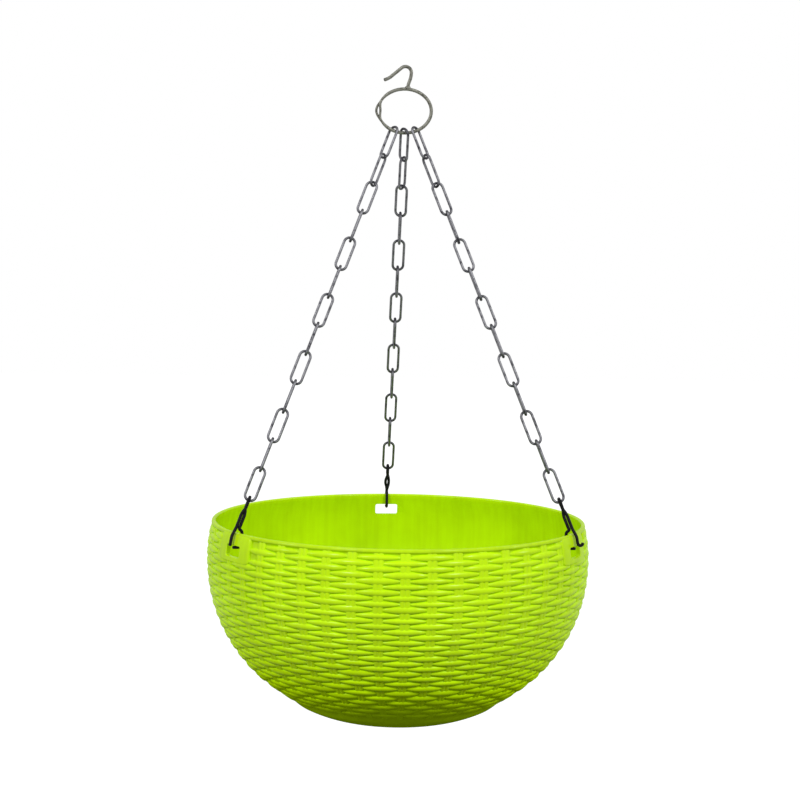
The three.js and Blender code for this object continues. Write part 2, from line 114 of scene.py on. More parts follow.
# Depths below the rim: where the side's rows stop, and where the lip's closer rows start
SIDE_ROWS_STOP = 0.0046
LIP_ROWS_START = 0.0042
# How far the hole in the shell goes past a slot's outline, behind the panel's lining
SLOT_ROOM = 0.00015
# How far a panel stands proud of the weave's crests
PANEL_PROUD = 0.00004
# Places of the first two rows on a panel's face, as shares of the way from the slot to the panel's edge
BEVEL_SHARE = 0.03
PLAIN_SHARE = 0.1
# How far the back of a stake or strand lies under the ground, as a share of its height
SUNK_SHARE = 0.3
# How late the rows of strands stretch towards the base, as a power
ROW_STRETCH_POWER = 6

# Paleness of the bowl's pieces: 0 is lime and 1 pale lime, with a share of the grain added to it
# Painted shade: the shell, with the recessed ground between the strands and the inside, keeps the darker
# plain lime
SHELL_SHADE_TONE = 0.0
# Painted light: the stakes are as pale as the strands, against the shade that the strands cast on them
STAKE_LIT_TONE = 0.5
STRAND_TONE = 0.5
STRAND_TONE_SPREAD = 0.15
PANEL_TONE = 0.35
GRAIN_SHARE = 0.45
# Links are darkened with painted shade, where they meet their neighbours, from this share of their half
# length to their ends
SHADED_FROM = 0.75

# Roughness of each finish, at its smoothest and at its roughest spots
LIME_ROUGHNESS = (0.30, 0.42)
STEEL_ROUGHNESS = (0.42, 0.6)
BLACK_ROUGHNESS = (0.38, 0.6)
STEEL_METALLIC = 0.85
# Fine relief of each finish: its strength, and its depth in metres
LIME_BUMP = (0.04, 0.0002)
STEEL_BUMP = (0.25, 0.0001)
BLACK_BUMP = (0.3, 0.0001)

# Roundness of each wire's ends, where 1 is half a ball
RING_END = 0.4
HOOK_END = 0.5
LINK_END = 0.2
CLIP_END = 0.5
# The weld bead, in wire thicknesses: its half sizes, and its height over the middle of the ring's wire
WELD_HALF = (0.84, 0.66, 0.60)
WELD_RISE = 0.35
# Waves on the bead: strength, waves round it, and slant down it
WELD_WAVES = ((0.07, 3, 2), (0.05, 5, -4))

WHITE = (1, 1, 1, 1)
SENSOR_WIDTH = 36


def length(name, description, default):
    """A size in metres that a user can change."""
    return FloatProperty(name=name, description=description, default=default, unit="LENGTH", precision=5)


def share(name, description, default):
    """A plain number, such as a share of a spacing or a strength."""
    return FloatProperty(name=name, description=description, default=default, precision=4)


def turn(name, description, degrees):
    """An angle, given in degrees and kept in radians."""
    return FloatProperty(name=name, description=description, default=math.radians(degrees), subtype="ANGLE")


def colour(name, description, default):
    """A colour in linear light."""
    return FloatVectorProperty(name=name, description=description, default=default, size=3, subtype="COLOR")


class PLANTER_PG_bowl(bpy.types.PropertyGroup):
    """Sizes of the bowl, measured over the crests of its weave."""

    radius: length("Radius", "Widest radius over the weave's crests", 0.125)
    rim_radius: length("Rim radius", "Radius at the rim", 0.1216)
    widest_depth: length("Widest depth", "How far below the rim the bowl is widest", 0.023)
    height: length("Height", "From the base to the rim", BOWL_HIGH.z - BOWL_LOW.z)
    base_radius: length("Base radius", "Radius of the foot", 0.046)
    wall: length("Wall", "Thickness of the moulded wall", 0.0028)
    rim_rounding: length("Rim rounding", "Radius of the rim's two edges", 0.0011)
    foot_width: length("Foot width", "Width of the foot ring", 0.007)
    foot_height: length("Foot height", "How far the foot ring stands below the underside", 0.0016)
    side_roundness: share("Side roundness", "Roundness of the side, 2 is an ellipse", 1.4)
    underside_roundness: share("Underside roundness", "Roundness towards the base, 2 is an ellipse", 2.2)
    slot_width: length("Slot width", "Width of a chain's slot", 0.0158)
    slot_height: length("Slot height", "Height of a chain's slot", 0.0072)
    slot_depth: length("Slot depth", "From the rim to the top of a slot", 0.0076)
    slot_corner: length("Slot corner", "Corner radius of a slot", 0.0012)
    panel_margin: length("Panel margin", "Plain wall on each side of a slot", 0.010)
    panel_depth: length("Panel depth", "From the rim to the lower edge of the plain panel", 0.0178)
    panel_corner: length("Panel corner", "Corner radius of the plain panel", 0.0022)
    panel_edge: length("Panel edge", "Width over which the panel's edge rounds off", 0.0012)
    slot_bevel: length("Slot bevel", "Rounding of a slot's edge", 0.0003)


class PLANTER_PG_weave(bpy.types.PropertyGroup):
    """Sizes of the moulded weave on the outside of the bowl."""

    stake_count: IntProperty(name="Stakes", description="Upright stakes round the bowl", default=48, min=8)
    stake_start: turn("First stake", "Direction of the first stake", 267.96)
    bar_spread: share("Bar spread", "Half the distance of a stake's two bars, in stake spacings", 0.09)
    bar_width: share("Bar width", "Half width of one bar, in stake spacings", 0.11)
    bar_crest: length("Bar crest", "How far a bar's crest lies below the weave's crests", 0.0005)
    bar_sink: length("Bar sink", "How much deeper the bars lie under the bowl's belly", 0.0003)
    row_count: IntProperty(name="Rows", description="Rows of strands from rim to base", default=31, min=4)
    first_row: length("First row", "Depth of the first row below the rim", 0.0047)
    row_pitch: length("Row pitch", "Height of one row", 0.0035)
    row_stretch: share("Row stretch", "Share by which the lowest rows are further apart", 0.037)
    strand_reach: share("Strand reach", "Half length of a strand, in stake spacings", 0.94)
    strand_height: share("Strand height", "Height of a strand over its stake, in row pitches", 1.2)
    strand_taper: share("Strand taper", "How late a strand narrows towards its ends, as a power", 3.0)
    strand_thinning: share("Strand thinning", "Share by which strands are lower under the belly", 0.18)
    strand_fall: share("Strand fall", "How late a strand sinks towards its ends, as a power", 3.2)
    base_fade: share("Base fade", "Share by which the weave is flatter at the base", 0.6)
    fade_rows: share("Fade rows", "Rows above the base over which the weave flattens", 5)
    flat_top: share("Flat top", "Roundness of strands and stakes, 1 is an ellipse, less is flatter", 0.9)
    relief: length("Relief", "Depth of the ground below the crests", 0.0015)
    lip: length("Lip", "Height of the plain lip under the rim", 0.0015)
    unevenness: share("Unevenness", "Spread of the strands' height", 0.14)
    panel_tuck: share("Panel tuck", "How far a strand runs under a panel, in stake spacings", 0.2)
    slip: share("Slip", "Spread of the strands' places, in stake spacings", 0.05)
    seed: IntProperty(name="Seed", description="Start of the random draws", default=7)


class PLANTER_PG_wire(bpy.types.PropertyGroup):
    """Sizes of the ring, the hook, the links and the clips."""

    ring_wire: length("Ring wire", "Thickness of the wire of ring and hook", 0.0022)
    ring_width: length("Ring width", "Outside width of the ring", 0.0364)
    ring_height: length("Ring height", "Outside height of the ring", 0.0302)
    lap_wire: length("Lap wire", "Thickness of the ring's thinned ends", 0.0016)
    lap_eye: length("Lap eye", "Gap between the ring's lapped ends", 0.0009)
    lap_half: turn("Lap", "Half the angle over which the ends lap", 27)
    hook_height: length("Hook height", "From the middle of the ring's top wire to the saddle", 0.0132)
    hook_bend: length("Hook bend", "Radius of the hook's crown", 0.0038)
    hook_wrap: turn("Hook wrap", "Angle of the crown", 130)
    hook_arm: length("Hook arm", "Length of the open arm", 0.0106)
    hook_lip: length("Hook lip", "Length of the turned-out lip", 0.003)
    hook_lip_turn: turn("Lip turn", "Angle by which the lip turns out", 20)
    hook_foot: length("Hook foot", "Offset of the hook's foot from the middle", 0.0018)
    link_wire: length("Link wire", "Thickness of a link's wire", 0.0017)
    link_width: length("Link width", "Outside width of a link", 0.0087)
    link_inside: length("Link inside", "Inside length of a link", 0.0202)
    link_gap: length("Link gap", "Running gap between links", 0.00035)
    link_seam: length("Link seam", "Gap where a link's two ends meet", 0.00022)
    first_turn: turn("First turn", "Turn of the first link about its chain", 52)
    clip_wire: length("Clip wire", "Thickness of a clip's wire", 0.002)
    clip_gap: length("Clip gap", "Gap between a clip's two wires", 0.00035)
    clip_shank: length("Clip shank", "From the eye's top to where the wires part", 0.0205)
    clip_rise: length("Clip rise", "Height above the rim where the wires part", 0.003)
    clip_leg: length("Clip leg", "Length of the outer leg", 0.012)
    clip_flare: length("Clip flare", "How far the outer leg's end stands off the wall", 0.0012)
    clip_rim_room: length("Clip rim room", "How far the outer leg stands off the wall near the rim", 0.0012)
    clip_bend: length("Clip bend", "Radius of the bend at the foot", 0.0015)
    clip_curl: length("Clip curl", "Radius of the curl at the outer leg's end", 0.0017)
    clip_curl_turn: turn("Clip curl turn", "Angle of the curl", 150)
    clip_neck: length("Clip neck", "Length of the neck under the eye", 0.003)
    clip_eye_half: turn("Clip eye", "Half the angle of the eye", 115)
    clip_twist: length("Clip twist", "Length of one full turn of the twisted pair", 0.024)
    clip_small_twist: turn("Clip small twist", "A pair that needs less twist gets a half turn more", 15)


class PLANTER_PG_finish(bpy.types.PropertyGroup):
    """Colours and gloss of the finishes."""

    lime: colour("Lime", "Moulded plastic", (0.405, 0.635, 0.0012))
    # The pale lime goes on the grain's paler flecks and on the raised stakes and strands, so the shell's
    # plain lime is painted shade
    lime_pale: colour("Pale lime", "Paler flecks in the plastic", (0.54, 0.86, 0.002))
    lime_gloss: share("Lime gloss", "Strength of the plastic's own reflection, 0.5 is plain plastic", 0.0)
    lime_coat: share("Lime coat", "Strength of the sharper highlights on the upper part of the bowl", 0.3)
    lime_coat_roughness: share("Coat roughness", "Roughness of the sharper highlights", 0.22)
    coat_start: length("Coat start", "Height above the base where the sharper highlights start", 0.03)
    coat_full: length("Coat full", "Height above the base where they are at full strength", 0.08)
    ring_steel: colour("Ring steel", "Drawn wire of ring and hook", (0.17, 0.17, 0.145))
    ring_tarnish: colour("Ring tarnish", "Dark spots on ring and hook", (0.045, 0.045, 0.036))
    chain_steel: colour("Chain steel", "Plated wire of the links", (0.15, 0.15, 0.162))
    # The links' tarnish colour is also their painted shade where the links meet
    chain_tarnish_and_shade: colour("Chain tarnish", "Dull spots on the links", (0.030, 0.029, 0.036))
    black: colour("Black", "Coating of the clips", (0.004, 0.004, 0.005))
    black_gloss: share("Black gloss", "Strength of the coating's own reflection, 0.5 is plain plastic", 0.06)
    black_worn: colour("Worn black", "Rubbed spots of the coating", (0.012, 0.012, 0.014))


class PLANTER_PG_stage(bpy.types.PropertyGroup):
    """Camera, light and floor."""

    lens: share("Lens", "Focal length in millimetres on a sensor 36 mm wide", 82.8)
    distance: length("Distance", "From the camera to the point it looks at", 1.201)
    elevation: turn("Elevation", "Angle by which the camera looks down", 4.92)
    azimuth: turn("Azimuth", "Turn of the camera round the planter", -4.19)
    roll: turn("Roll", "Turn of the picture", 0.9)
    aim_aside: length("Aim aside", "Sideways place of the point looked at", -0.0002)
    aim_rise: length("Aim rise", "Height above the rim of the point looked at", 0.07833)
    floor_drop: length("Floor drop", "From the base down to the floor", 0.30)
    floor_size: length("Floor size", "Side of the floor", 14.0)
    ambient: share("Ambient", "Strength of the light from all round", 0.515)
    key_level: share("Key", "Level of the light from the front right, 1 shows white as white", 0.405)
    key_azimuth: turn("Key azimuth", "Direction of the key light, to the right of the front", 30)
    fill_level: share("Fill", "Level of the light from the front left", 0.37)
    fill_azimuth: turn("Fill azimuth", "Direction of the fill light, to the left of the front", 38)
    front_elevation: turn("Front elevation", "Height of the key and the fill light above level", 34)
    side_level: share("Sides", "Level of the two lights from the sides", 0.18)
    side_azimuth: turn("Side azimuth", "Direction of the side lights, away from the front", 75)
    side_elevation: turn("Side elevation", "Height of the side lights above level", 20)
    softness: turn("Softness", "Width of each light in the sky", 7)
    floor_bounce: share("Floor bounce", "Share of the light that the floor sends back to the planter", 0.13)
    floor_glow: share("Floor glow", "White that the floor shows even in shadow", 0.5)
    floor_pale: share("Floor colour", "Pale colour of the floor on top of its glow", 0.58)


def settings(group):
    """One of the property groups on the scene."""
    return getattr(bpy.context.scene, "planter_" + group)


def ease(value, low, high):
    """Rises from 0 at low to 1 at high, level at both ends: 3t squared less 2t cubed."""
    t = np.clip((value - low) / (high - low), 0, 1)
    return t * t * (3 - 2 * t)


def unit(vectors):
    """Vectors scaled to length 1."""
    return vectors / np.linalg.norm(vectors, axis=-1, keepdims=True)


def square_to(direction, axis):
    """A direction made square to an axis, with length 1: its part along the axis is taken off."""
    along = np.sum(direction * axis, axis=-1, keepdims=True)
    return unit(direction - along * axis)


def grid_quads(rows, columns, close_rows=False):
    """Quads of a grid of points given row by row. Columns close round, rows only where asked."""
    row = np.arange(rows if close_rows else rows - 1)[:, None] * columns
    next_row = (row + columns) % (rows * columns)
    column = np.arange(columns)[None, :]
    next_column = (column + 1) % columns
    corners = [row + column, row + next_column, next_row + next_column, next_row + column]
    return np.stack(corners, axis=-1).reshape(-1, 4)


def capped_faces(rings, sides):
    """Quads of a tube of rings, and the triangles of two fans to the poles that follow its points."""
    side = np.arange(sides)
    after = (side + 1) % sides
    last = (rings - 1) * sides
    pole = np.full(sides, rings * sides)
    first_fan = np.stack([pole, after, side], axis=1)
    last_fan = np.stack([pole + 1, last + side, last + after], axis=1)
    return grid_quads(rings, sides), np.vstack([first_fan, last_fan])


def repeated(faces, count, stride):
    """The same faces for several bodies whose points follow each other, stride points apart."""
    shift = np.arange(count)[:, None, None] * stride
    return (faces[None] + shift).reshape(-1, faces.shape[1])


def add_object(name, data):
    """An object of the data, in the scene's own collection."""
    made = bpy.data.objects.new(name, data)
    bpy.context.scene.collection.objects.link(made)
    return made


def mesh_of(name, points, face_groups):
    """A mesh of points and of groups of faces, where a group's faces have the same number of corners."""
    mesh = bpy.data.meshes.new(name)
    faces = sum((group.tolist() for group in face_groups), [])
    mesh.from_pydata(np.reshape(points, (-1, 3)).tolist(), [], faces)
    return mesh


def smooth(mesh):
    """Smooth shading, broken at edges sharper than the sharp-edge angle."""
    mesh.update()
    mesh.polygons.foreach_set("use_smooth", np.ones(len(mesh.polygons), bool))
    mesh.set_sharp_from_angle(angle=SHARP_EDGE)


def add_piece(name, points, face_groups, material, body, replaced=(), tone=None):
    """A smooth mesh that rides a body and may stand for solids of the part.

    The tone is one number for the whole piece, or one for each point.
    """
    mesh = mesh_of(name, points, face_groups)
    if tone is not None:
        tones = np.broadcast_to(np.ravel(tone), len(mesh.vertices))
        attribute = mesh.attributes.new("tone", "FLOAT", "POINT")
        attribute.data.foreach_set("value", tones.astype(np.float32))
    mesh.materials.append(material)
    piece = add_object(name, mesh)
    smooth(mesh)
    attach(piece, body)
    if replaced:
        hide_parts(*replaced)
    return piece


def wire_surface(path, radii, reference, roundness):
    """A round wire along a path, closed at both ends.

    Each ring is path + radius * (cos(a) * first + sin(a) * second). The first axis is the reference
    direction made square to the path, and the second is square to both. Past each end three rings
    step on by roundness * radius * sin(b) and shrink to radius * cos(b), up to a pole.
    """
    radii = np.broadcast_to(np.asarray(radii, float), len(path))
    tangents = unit(np.gradient(path, axis=0))
    cap_step = roundness * np.sin(CAP_ANGLES)[:, None]
    head = path[0] - radii[0] * cap_step * tangents[0]
    tail = (path[-1] + radii[-1] * cap_step * tangents[-1])[::-1]
    centres = np.vstack([head, path, tail])
    cap_shrink = np.cos(CAP_ANGLES)
    widths = np.concatenate([radii[0] * cap_shrink, radii, radii[-1] * cap_shrink[::-1]])
    caps = len(CAP_ANGLES)
    along = np.vstack([np.repeat(tangents[:1], caps, 0), tangents, np.repeat(tangents[-1:], caps, 0)])
    first = square_to(np.asarray(reference, float), along)
    second = np.cross(along, first)
    angle = np.linspace(0, 2 * np.pi, WIRE_SIDES, endpoint=False)[None, :, None]
    rim = np.cos(angle) * first[:, None] + np.sin(angle) * second[:, None]
    rings = centres[:, None] + widths[:, None, None] * rim
    poles = [path[0] - roundness * radii[0] * tangents[0], path[-1] + roundness * radii[-1] * tangents[-1]]
    return np.vstack([rings.reshape(-1, 3), poles]), capped_faces(len(centres), WIRE_SIDES)


def evenly_along(points, count):
    """Points at even steps along a row of points."""
    steps = np.linalg.norm(np.diff(points, axis=0), axis=1)
    travel = np.concatenate([[0], np.cumsum(steps)])
    wanted = np.linspace(0, travel[-1], count)
    return np.stack([np.interp(wanted, travel, points[:, axis]) for axis in range(points.shape[1])], axis=1)


def smooth_route(points, count):
    """A smooth curve through points: a spline of cubics, at even steps of its length.

    Each span is a cubic between two points whose end slopes come from the neighbours, weighed by the
    square roots of the distances. One more point is mirrored past each end.
    """
    ends = [2 * points[0] - points[1], 2 * points[-1] - points[-2]]
    through = np.vstack([ends[:1], points, ends[1:]])
    gap = np.sqrt(np.linalg.norm(np.diff(through, axis=0), axis=1))[:, None]
    before, here, after = gap[:-2], gap[1:-1], gap[2:]
    p0, p1, p2, p3 = through[:-3], through[1:-2], through[2:-1], through[3:]
    leave = here * ((p1 - p0) / before - (p2 - p0) / (before + here) + (p2 - p1) / here)
    arrive = here * ((p2 - p1) / here - (p3 - p1) / (here + after) + (p3 - p2) / after)
    t = np.linspace(0, 1, SPAN_POINTS)[None, :, None]
    start = (2 * t**3 - 3 * t**2 + 1) * p1[:, None] + (t**3 - 2 * t**2 + t) * leave[:, None]
    finish = (3 * t**2 - 2 * t**3) * p2[:, None] + (t**3 - t**2) * arrive[:, None]
    return evenly_along((start + finish).reshape(-1, 3), count)


# Outline of the bowl


def outline_radius(depth, bottom):
    """Radius of the bowl's outline at a depth below the rim, for an outline that ends at a bottom depth.

    Above the widest level it draws in as a parabola to the rim. Below it is a quarter of a
    superellipse that runs flat into the base.
    """
    bowl = settings("bowl")
    rise = np.clip(1 - depth / bowl.widest_depth, 0, 1)
    upper = bowl.radius - (bowl.radius - bowl.rim_radius) * rise**2
    sunk = np.clip((depth - bowl.widest_depth) / (bottom - bowl.widest_depth), 0, 1)
    sine = sunk ** (bowl.underside_roundness / 2)
    cosine = np.sqrt(np.clip(1 - sine**2, 0, 1))
    lower = bowl.base_radius + (bowl.radius - bowl.base_radius) * cosine ** (2 / bowl.side_roundness)
    return np.where(depth < bowl.widest_depth, upper, lower)


def crest_radius(depth):
    """Outside radius over the weave's crests: the outline down to the base."""
    return outline_radius(depth, settings("bowl").height)


def floor_depth():
    """Depth of the inside floor's top below the rim: the underside's, less the wall."""
    bowl = settings("bowl")
    return bowl.height - bowl.foot_height - bowl.wall


def inner_radius(depth):
    """Inside radius: the outline down to the inside floor, moved in by the wall."""
    return outline_radius(depth, floor_depth()) - settings("bowl").wall


def wall_slope(depth):
    """Growth of the outside radius with depth, from two points close above and below."""
    return (crest_radius(depth + SLOPE_STEP) - crest_radius(depth - SLOPE_STEP)) / (2 * SLOPE_STEP)


def wall_section(depth, offset):
    """Radius and height of a point at a depth below the rim, moved out square to the wall."""
    depth = np.clip(depth, SLOPE_STEP, settings("bowl").height - SLOPE_STEP)
    slope = wall_slope(depth)
    stretch = np.hypot(1, slope)
    return crest_radius(depth) + offset / stretch, BOWL_HIGH.z - depth + offset * slope / stretch


def round_points(radius, angle, height):
    """Points at a radius, direction and height round the bowl's upright axis."""
    return np.stack(np.broadcast_arrays(radius * np.cos(angle), radius * np.sin(angle), height), axis=-1)


def wall_points(angle, depth, offset):
    """Points on the bowl's outside, given by direction, depth below the rim and offset from the crests."""
    radius, height = wall_section(depth, offset)
    return round_points(radius, angle, height)


def even_outline(radius_at, start, end, count):
    """Radius and depth below the rim at even steps along an outline."""
    depth = np.linspace(start, end, OUTLINE_SAMPLES)
    return evenly_along(np.stack([radius_at(depth), depth], axis=1), count)


def even_depths(start, end, count):
    """Depths below the rim at even steps along the wall's outside."""
    return even_outline(crest_radius, start, end, count)[:, 1]


def row_depths():
    """Depth of each row of strands: even steps that stretch slightly towards the base."""
    weave = settings("weave")
    row = np.arange(weave.row_count)
    stretch = 1 + weave.row_stretch * (row / (weave.row_count - 1)) ** ROW_STRETCH_POWER
    return weave.first_row + weave.row_pitch * row * stretch


def flattening(depth):
    """Share by which the weave is flatter at a depth: none above, eased in over the lowest rows."""
    weave = settings("weave")
    last = row_depths()[-1]
    return weave.base_fade * ease(depth, last - weave.fade_rows * weave.row_pitch, last)


def ground_offset(depth):
    """How far the ground between the strands lies below the crests: none on the lip and at the base."""
    weave = settings("weave")
    below_lip = ease(depth, weave.lip, weave.lip + weave.relief)
    last = row_depths()[-1]
    to_base = ease(depth, last + weave.row_pitch / 2, last + 2 * weave.row_pitch)
    return -weave.relief * below_lip * (1 - to_base)


# Finishes


def feed(tree, socket, value):
    """Sets a node's input to a plain value, or links it to another node's output."""
    if isinstance(value, bpy.types.NodeSocket):
        tree.links.new(value, socket)
    else:
        socket.default_value = value


def fill(tree, node, **inputs):
    """Feeds a node's inputs, given by name."""
    for name, value in inputs.items():
        feed(tree, node.inputs[name.replace("_", " ")], value)
    return node


def make_node(tree, kind, **inputs):
    """A new shader node with its inputs filled."""
    return fill(tree, tree.nodes.new(kind), **inputs)


def calculated(tree, operation, *inputs):
    """The outcome of a math node on plain values and other nodes' outputs."""
    node = tree.nodes.new("ShaderNodeMath")
    node.operation = operation
    for socket, value in zip(node.inputs, inputs):
        feed(tree, socket, value)
    return node.outputs["Value"]


def noise(tree, place, scale, detail, roughness):
    """The value of a noise pattern at a place."""
    node = make_node(
        tree, "ShaderNodeTexNoise", Vector=place, Scale=scale, Detail=detail, Roughness=roughness)
    return node.outputs["Fac"]


def new_group(name, numbers, results):
    """A shader node group with a vector and numbers as inputs and numbers as results, and its inputs."""
    tree = bpy.data.node_groups.new(name, "ShaderNodeTree")
    tree.interface.new_socket("Vector", in_out="INPUT", socket_type="NodeSocketVector")
    for label, value in numbers.items():
        socket = tree.interface.new_socket(label, in_out="INPUT", socket_type="NodeSocketFloat")
        socket.default_value = value
    for label in results:
        tree.interface.new_socket(label, in_out="OUTPUT", socket_type="NodeSocketFloat")
    return tree, tree.nodes.new("NodeGroupInput").outputs


def grain_group():
    """Moulded grain: soft mottling, fine flecks and upright flow streaks of a moulded or coated skin."""
    found = bpy.data.node_groups.get("moulded_grain")
    if found:
        return found
    scales = {"Mottle Scale": 60.0, "Fleck Scale": 900.0, "Streak Scale": 260.0}
    tree, given = new_group("moulded_grain", scales, ("Tone", "Height"))
    mottle = noise(tree, given["Vector"], given["Mottle Scale"], detail=3.0, roughness=0.55)
    fleck = noise(tree, given["Vector"], given["Fleck Scale"], detail=2.0, roughness=0.6)
    upright = make_node(tree, "ShaderNodeMapping", Vector=given["Vector"], Scale=(1.0, 1.0, 0.04))
    streak = noise(tree, upright.outputs["Vector"], given["Streak Scale"], detail=2.0, roughness=0.5)
    broad = calculated(tree, "ADD", mottle, streak)
    tone = make_node(tree, "ShaderNodeMapRange", Value=broad, From_Min=0.7, From_Max=1.3)
    make_node(tree, "NodeGroupOutput", Tone=tone.outputs["Result"], Height=fleck)
    return tree


def tarnish_group():
    """Wire tarnish: a mask of dark patches, and the height of fine pits."""
    found = bpy.data.node_groups.get("wire_tarnish")
    if found:
        return found
    numbers = {"Patch Scale": 300.0, "Pit Scale": 2200.0, "Amount": 0.5}
    tree, given = new_group("wire_tarnish", numbers, ("Mask", "Height"))
    patch = noise(tree, given["Vector"], given["Patch Scale"], detail=4.0, roughness=0.6)
    pit = noise(tree, given["Vector"], given["Pit Scale"], detail=2.0, roughness=0.7)
    edge = calculated(tree, "ADD", patch, given["Amount"])
    mask = make_node(tree, "ShaderNodeMapRange", Value=edge, From_Min=0.92, From_Max=1.18)
    mask.interpolation_type = "SMOOTHSTEP"
    make_node(tree, "NodeGroupOutput", Mask=mask.outputs["Result"], Height=pit)
    return tree


def empty_tree(owner):
    """The node tree of a material or a world, with nothing in it."""
    owner.use_nodes = True
    owner.node_tree.nodes.clear()
    return owner.node_tree


def blank_material(name):
    """A new material with only a Principled shader and an output, and its Object coordinates."""
    material = bpy.data.materials.new(name)
    tree = empty_tree(material)
    shader = tree.nodes.new("ShaderNodeBsdfPrincipled")
    make_node(tree, "ShaderNodeOutputMaterial", Surface=shader.outputs["BSDF"])
    return material, tree, shader, tree.nodes.new("ShaderNodeTexCoord").outputs["Object"]


def place_group(tree, group, **inputs):
    """The outputs of a shader node group placed in a material, with its own values."""
    node = tree.nodes.new("ShaderNodeGroup")
    node.node_tree = group
    return fill(tree, node, **inputs).outputs


def piece_tone(tree):
    """The tone that a piece's points carry."""
    node = tree.nodes.new("ShaderNodeAttribute")
    node.attribute_name = "tone"
    return node.outputs["Fac"]


def coloured_by(tree, factor, low, high):
    """The colour output of a mix between two colours by a factor."""
    # The mix node's colour sockets come after those for numbers and vectors, which have the same names
    mix = tree.nodes.new("ShaderNodeMix")
    mix.data_type = "RGBA"
    tree.links.new(factor, mix.inputs[0])
    mix.inputs[6].default_value = (*low, 1)
    mix.inputs[7].default_value = (*high, 1)
    return mix.outputs[2]


def ranged(tree, value, low, high):
    """A value from 0 to 1 spread between low and high."""
    return make_node(tree, "ShaderNodeMapRange", Value=value, To_Min=low, To_Max=high).outputs["Result"]


def bumped(tree, height, strength, distance):
    """A normal with the fine relief of a height."""
    node = make_node(tree, "ShaderNodeBump", Height=height, Strength=strength, Distance=distance)
    return node.outputs["Normal"]


def lime_plastic():
    """Moulded lime-green plastic, each strand slightly paler or deeper, polished on the upper part."""
    found = bpy.data.materials.get("lime_plastic_moulded")
    if found:
        return found
    finish = settings("finish")
    material, tree, shader, place = blank_material("lime_plastic_moulded")
    grain = place_group(tree, grain_group(), Vector=place, Mottle_Scale=45.0, Fleck_Scale=1400.0)
    # The pieces' tones paint shade on the shell's recessed ground and inside, and light on the stakes; the
    # strands' spread is random
    paleness = calculated(tree, "MULTIPLY_ADD", grain["Tone"], GRAIN_SHARE, piece_tone(tree))
    height = make_node(tree, "ShaderNodeSeparateXYZ", Vector=place).outputs["Z"]
    polish = make_node(
        tree, "ShaderNodeMapRange", Value=height, From_Min=BOWL_LOW.z + finish.coat_start,
        From_Max=BOWL_LOW.z + finish.coat_full, To_Max=finish.lime_coat)
    fill(
        tree, shader,
        Base_Color=coloured_by(tree, paleness, finish.lime, finish.lime_pale),
        Roughness=ranged(tree, grain["Height"], *LIME_ROUGHNESS),
        Specular_IOR_Level=finish.lime_gloss,
        Coat_Weight=polish.outputs["Result"],
        Coat_Roughness=finish.lime_coat_roughness,
        Normal=bumped(tree, grain["Height"], *LIME_BUMP),
    )
    return material


def wire_steel(name, bright, tarnish, amount, patch_scale):
    """Drawn wire: metal with dull dark patches and fine pits, and painted shade where its tone says so."""
    found = bpy.data.materials.get(name)
    if found:
        return found
    material, tree, shader, place = blank_material(name)
    spots = place_group(tree, tarnish_group(), Vector=place, Patch_Scale=patch_scale, Amount=amount)
    tarnish_and_shade = calculated(tree, "MAXIMUM", spots["Mask"], piece_tone(tree))
    fill(
        tree, shader,
        Base_Color=coloured_by(tree, tarnish_and_shade, bright, tarnish),
        Metallic=STEEL_METALLIC,
        Roughness=ranged(tree, tarnish_and_shade, *STEEL_ROUGHNESS),
        Normal=bumped(tree, spots["Height"], *STEEL_BUMP),
    )
    return material


def ring_steel():
    """Dull grey-olive wire of the ring and the hook."""
    finish = settings("finish")
    return wire_steel(
        "ring_steel_drawn", finish.ring_steel, finish.ring_tarnish, amount=0.47, patch_scale=420.0)


def chain_steel():
    """Plated wire of the links, dulled to dark grey in spots, with painted shade at the links' ends."""
    finish = settings("finish")
    return wire_steel(
        "chain_steel_plated", finish.chain_steel, finish.chain_tarnish_and_shade, amount=0.46, patch_scale=260.0)


def black_coat():
    """Satin black coating of the clips, rubbed in spots."""
    found = bpy.data.materials.get("black_wire_coated")
    if found:
        return found
    finish = settings("finish")
    material, tree, shader, place = blank_material("black_wire_coated")
    grain = place_group(tree, grain_group(), Vector=place, Mottle_Scale=380.0, Fleck_Scale=3000.0)
    fill(
        tree, shader,
        Base_Color=coloured_by(tree, grain["Tone"], finish.black, finish.black_worn),
        Roughness=ranged(tree, grain["Height"], *BLACK_ROUGHNESS),
        Specular_IOR_Level=finish.black_gloss,
        Normal=bumped(tree, grain["Height"], *BLACK_BUMP),
    )
    return material


# Stage


def show_by_ray(tree, lighting, shown, output_kind):
    """Sends one shader to the rays that light the planter, and another to those that see the background.

    Camera, glossy and transmission rays see the background.
    """
    rays = tree.nodes.new("ShaderNodeLightPath").outputs
    direct = calculated(tree, "MAXIMUM", rays["Is Camera Ray"], rays["Is Glossy Ray"])
    seen = calculated(tree, "MAXIMUM", direct, rays["Is Transmission Ray"])
    choice = make_node(tree, "ShaderNodeMixShader", Fac=seen)
    tree.links.new(lighting, choice.inputs[1])
    tree.links.new(shown, choice.inputs[2])
    make_node(tree, output_kind, Surface=choice.outputs["Shader"])


def matt_grey(tree, level):
    """A matt shader of a grey level."""
    return make_node(tree, "ShaderNodeBsdfDiffuse", Color=(level, level, level, 1)).outputs["BSDF"]


def floor_material(stage):
    """Pale matt floor that shows white to the camera and keeps the planter's soft shadow."""
    material = bpy.data.materials.new("floor_white")
    tree = empty_tree(material)
    glow = make_node(tree, "ShaderNodeEmission", Color=WHITE, Strength=stage.floor_glow)
    shown = tree.nodes.new("ShaderNodeAddShader")
    tree.links.new(matt_grey(tree, stage.floor_pale), shown.inputs[0])
    tree.links.new(glow.outputs["Emission"], shown.inputs[1])
    bounce = matt_grey(tree, stage.floor_bounce)
    show_by_ray(tree, bounce, shown.outputs["Shader"], "ShaderNodeOutputMaterial")
    return material


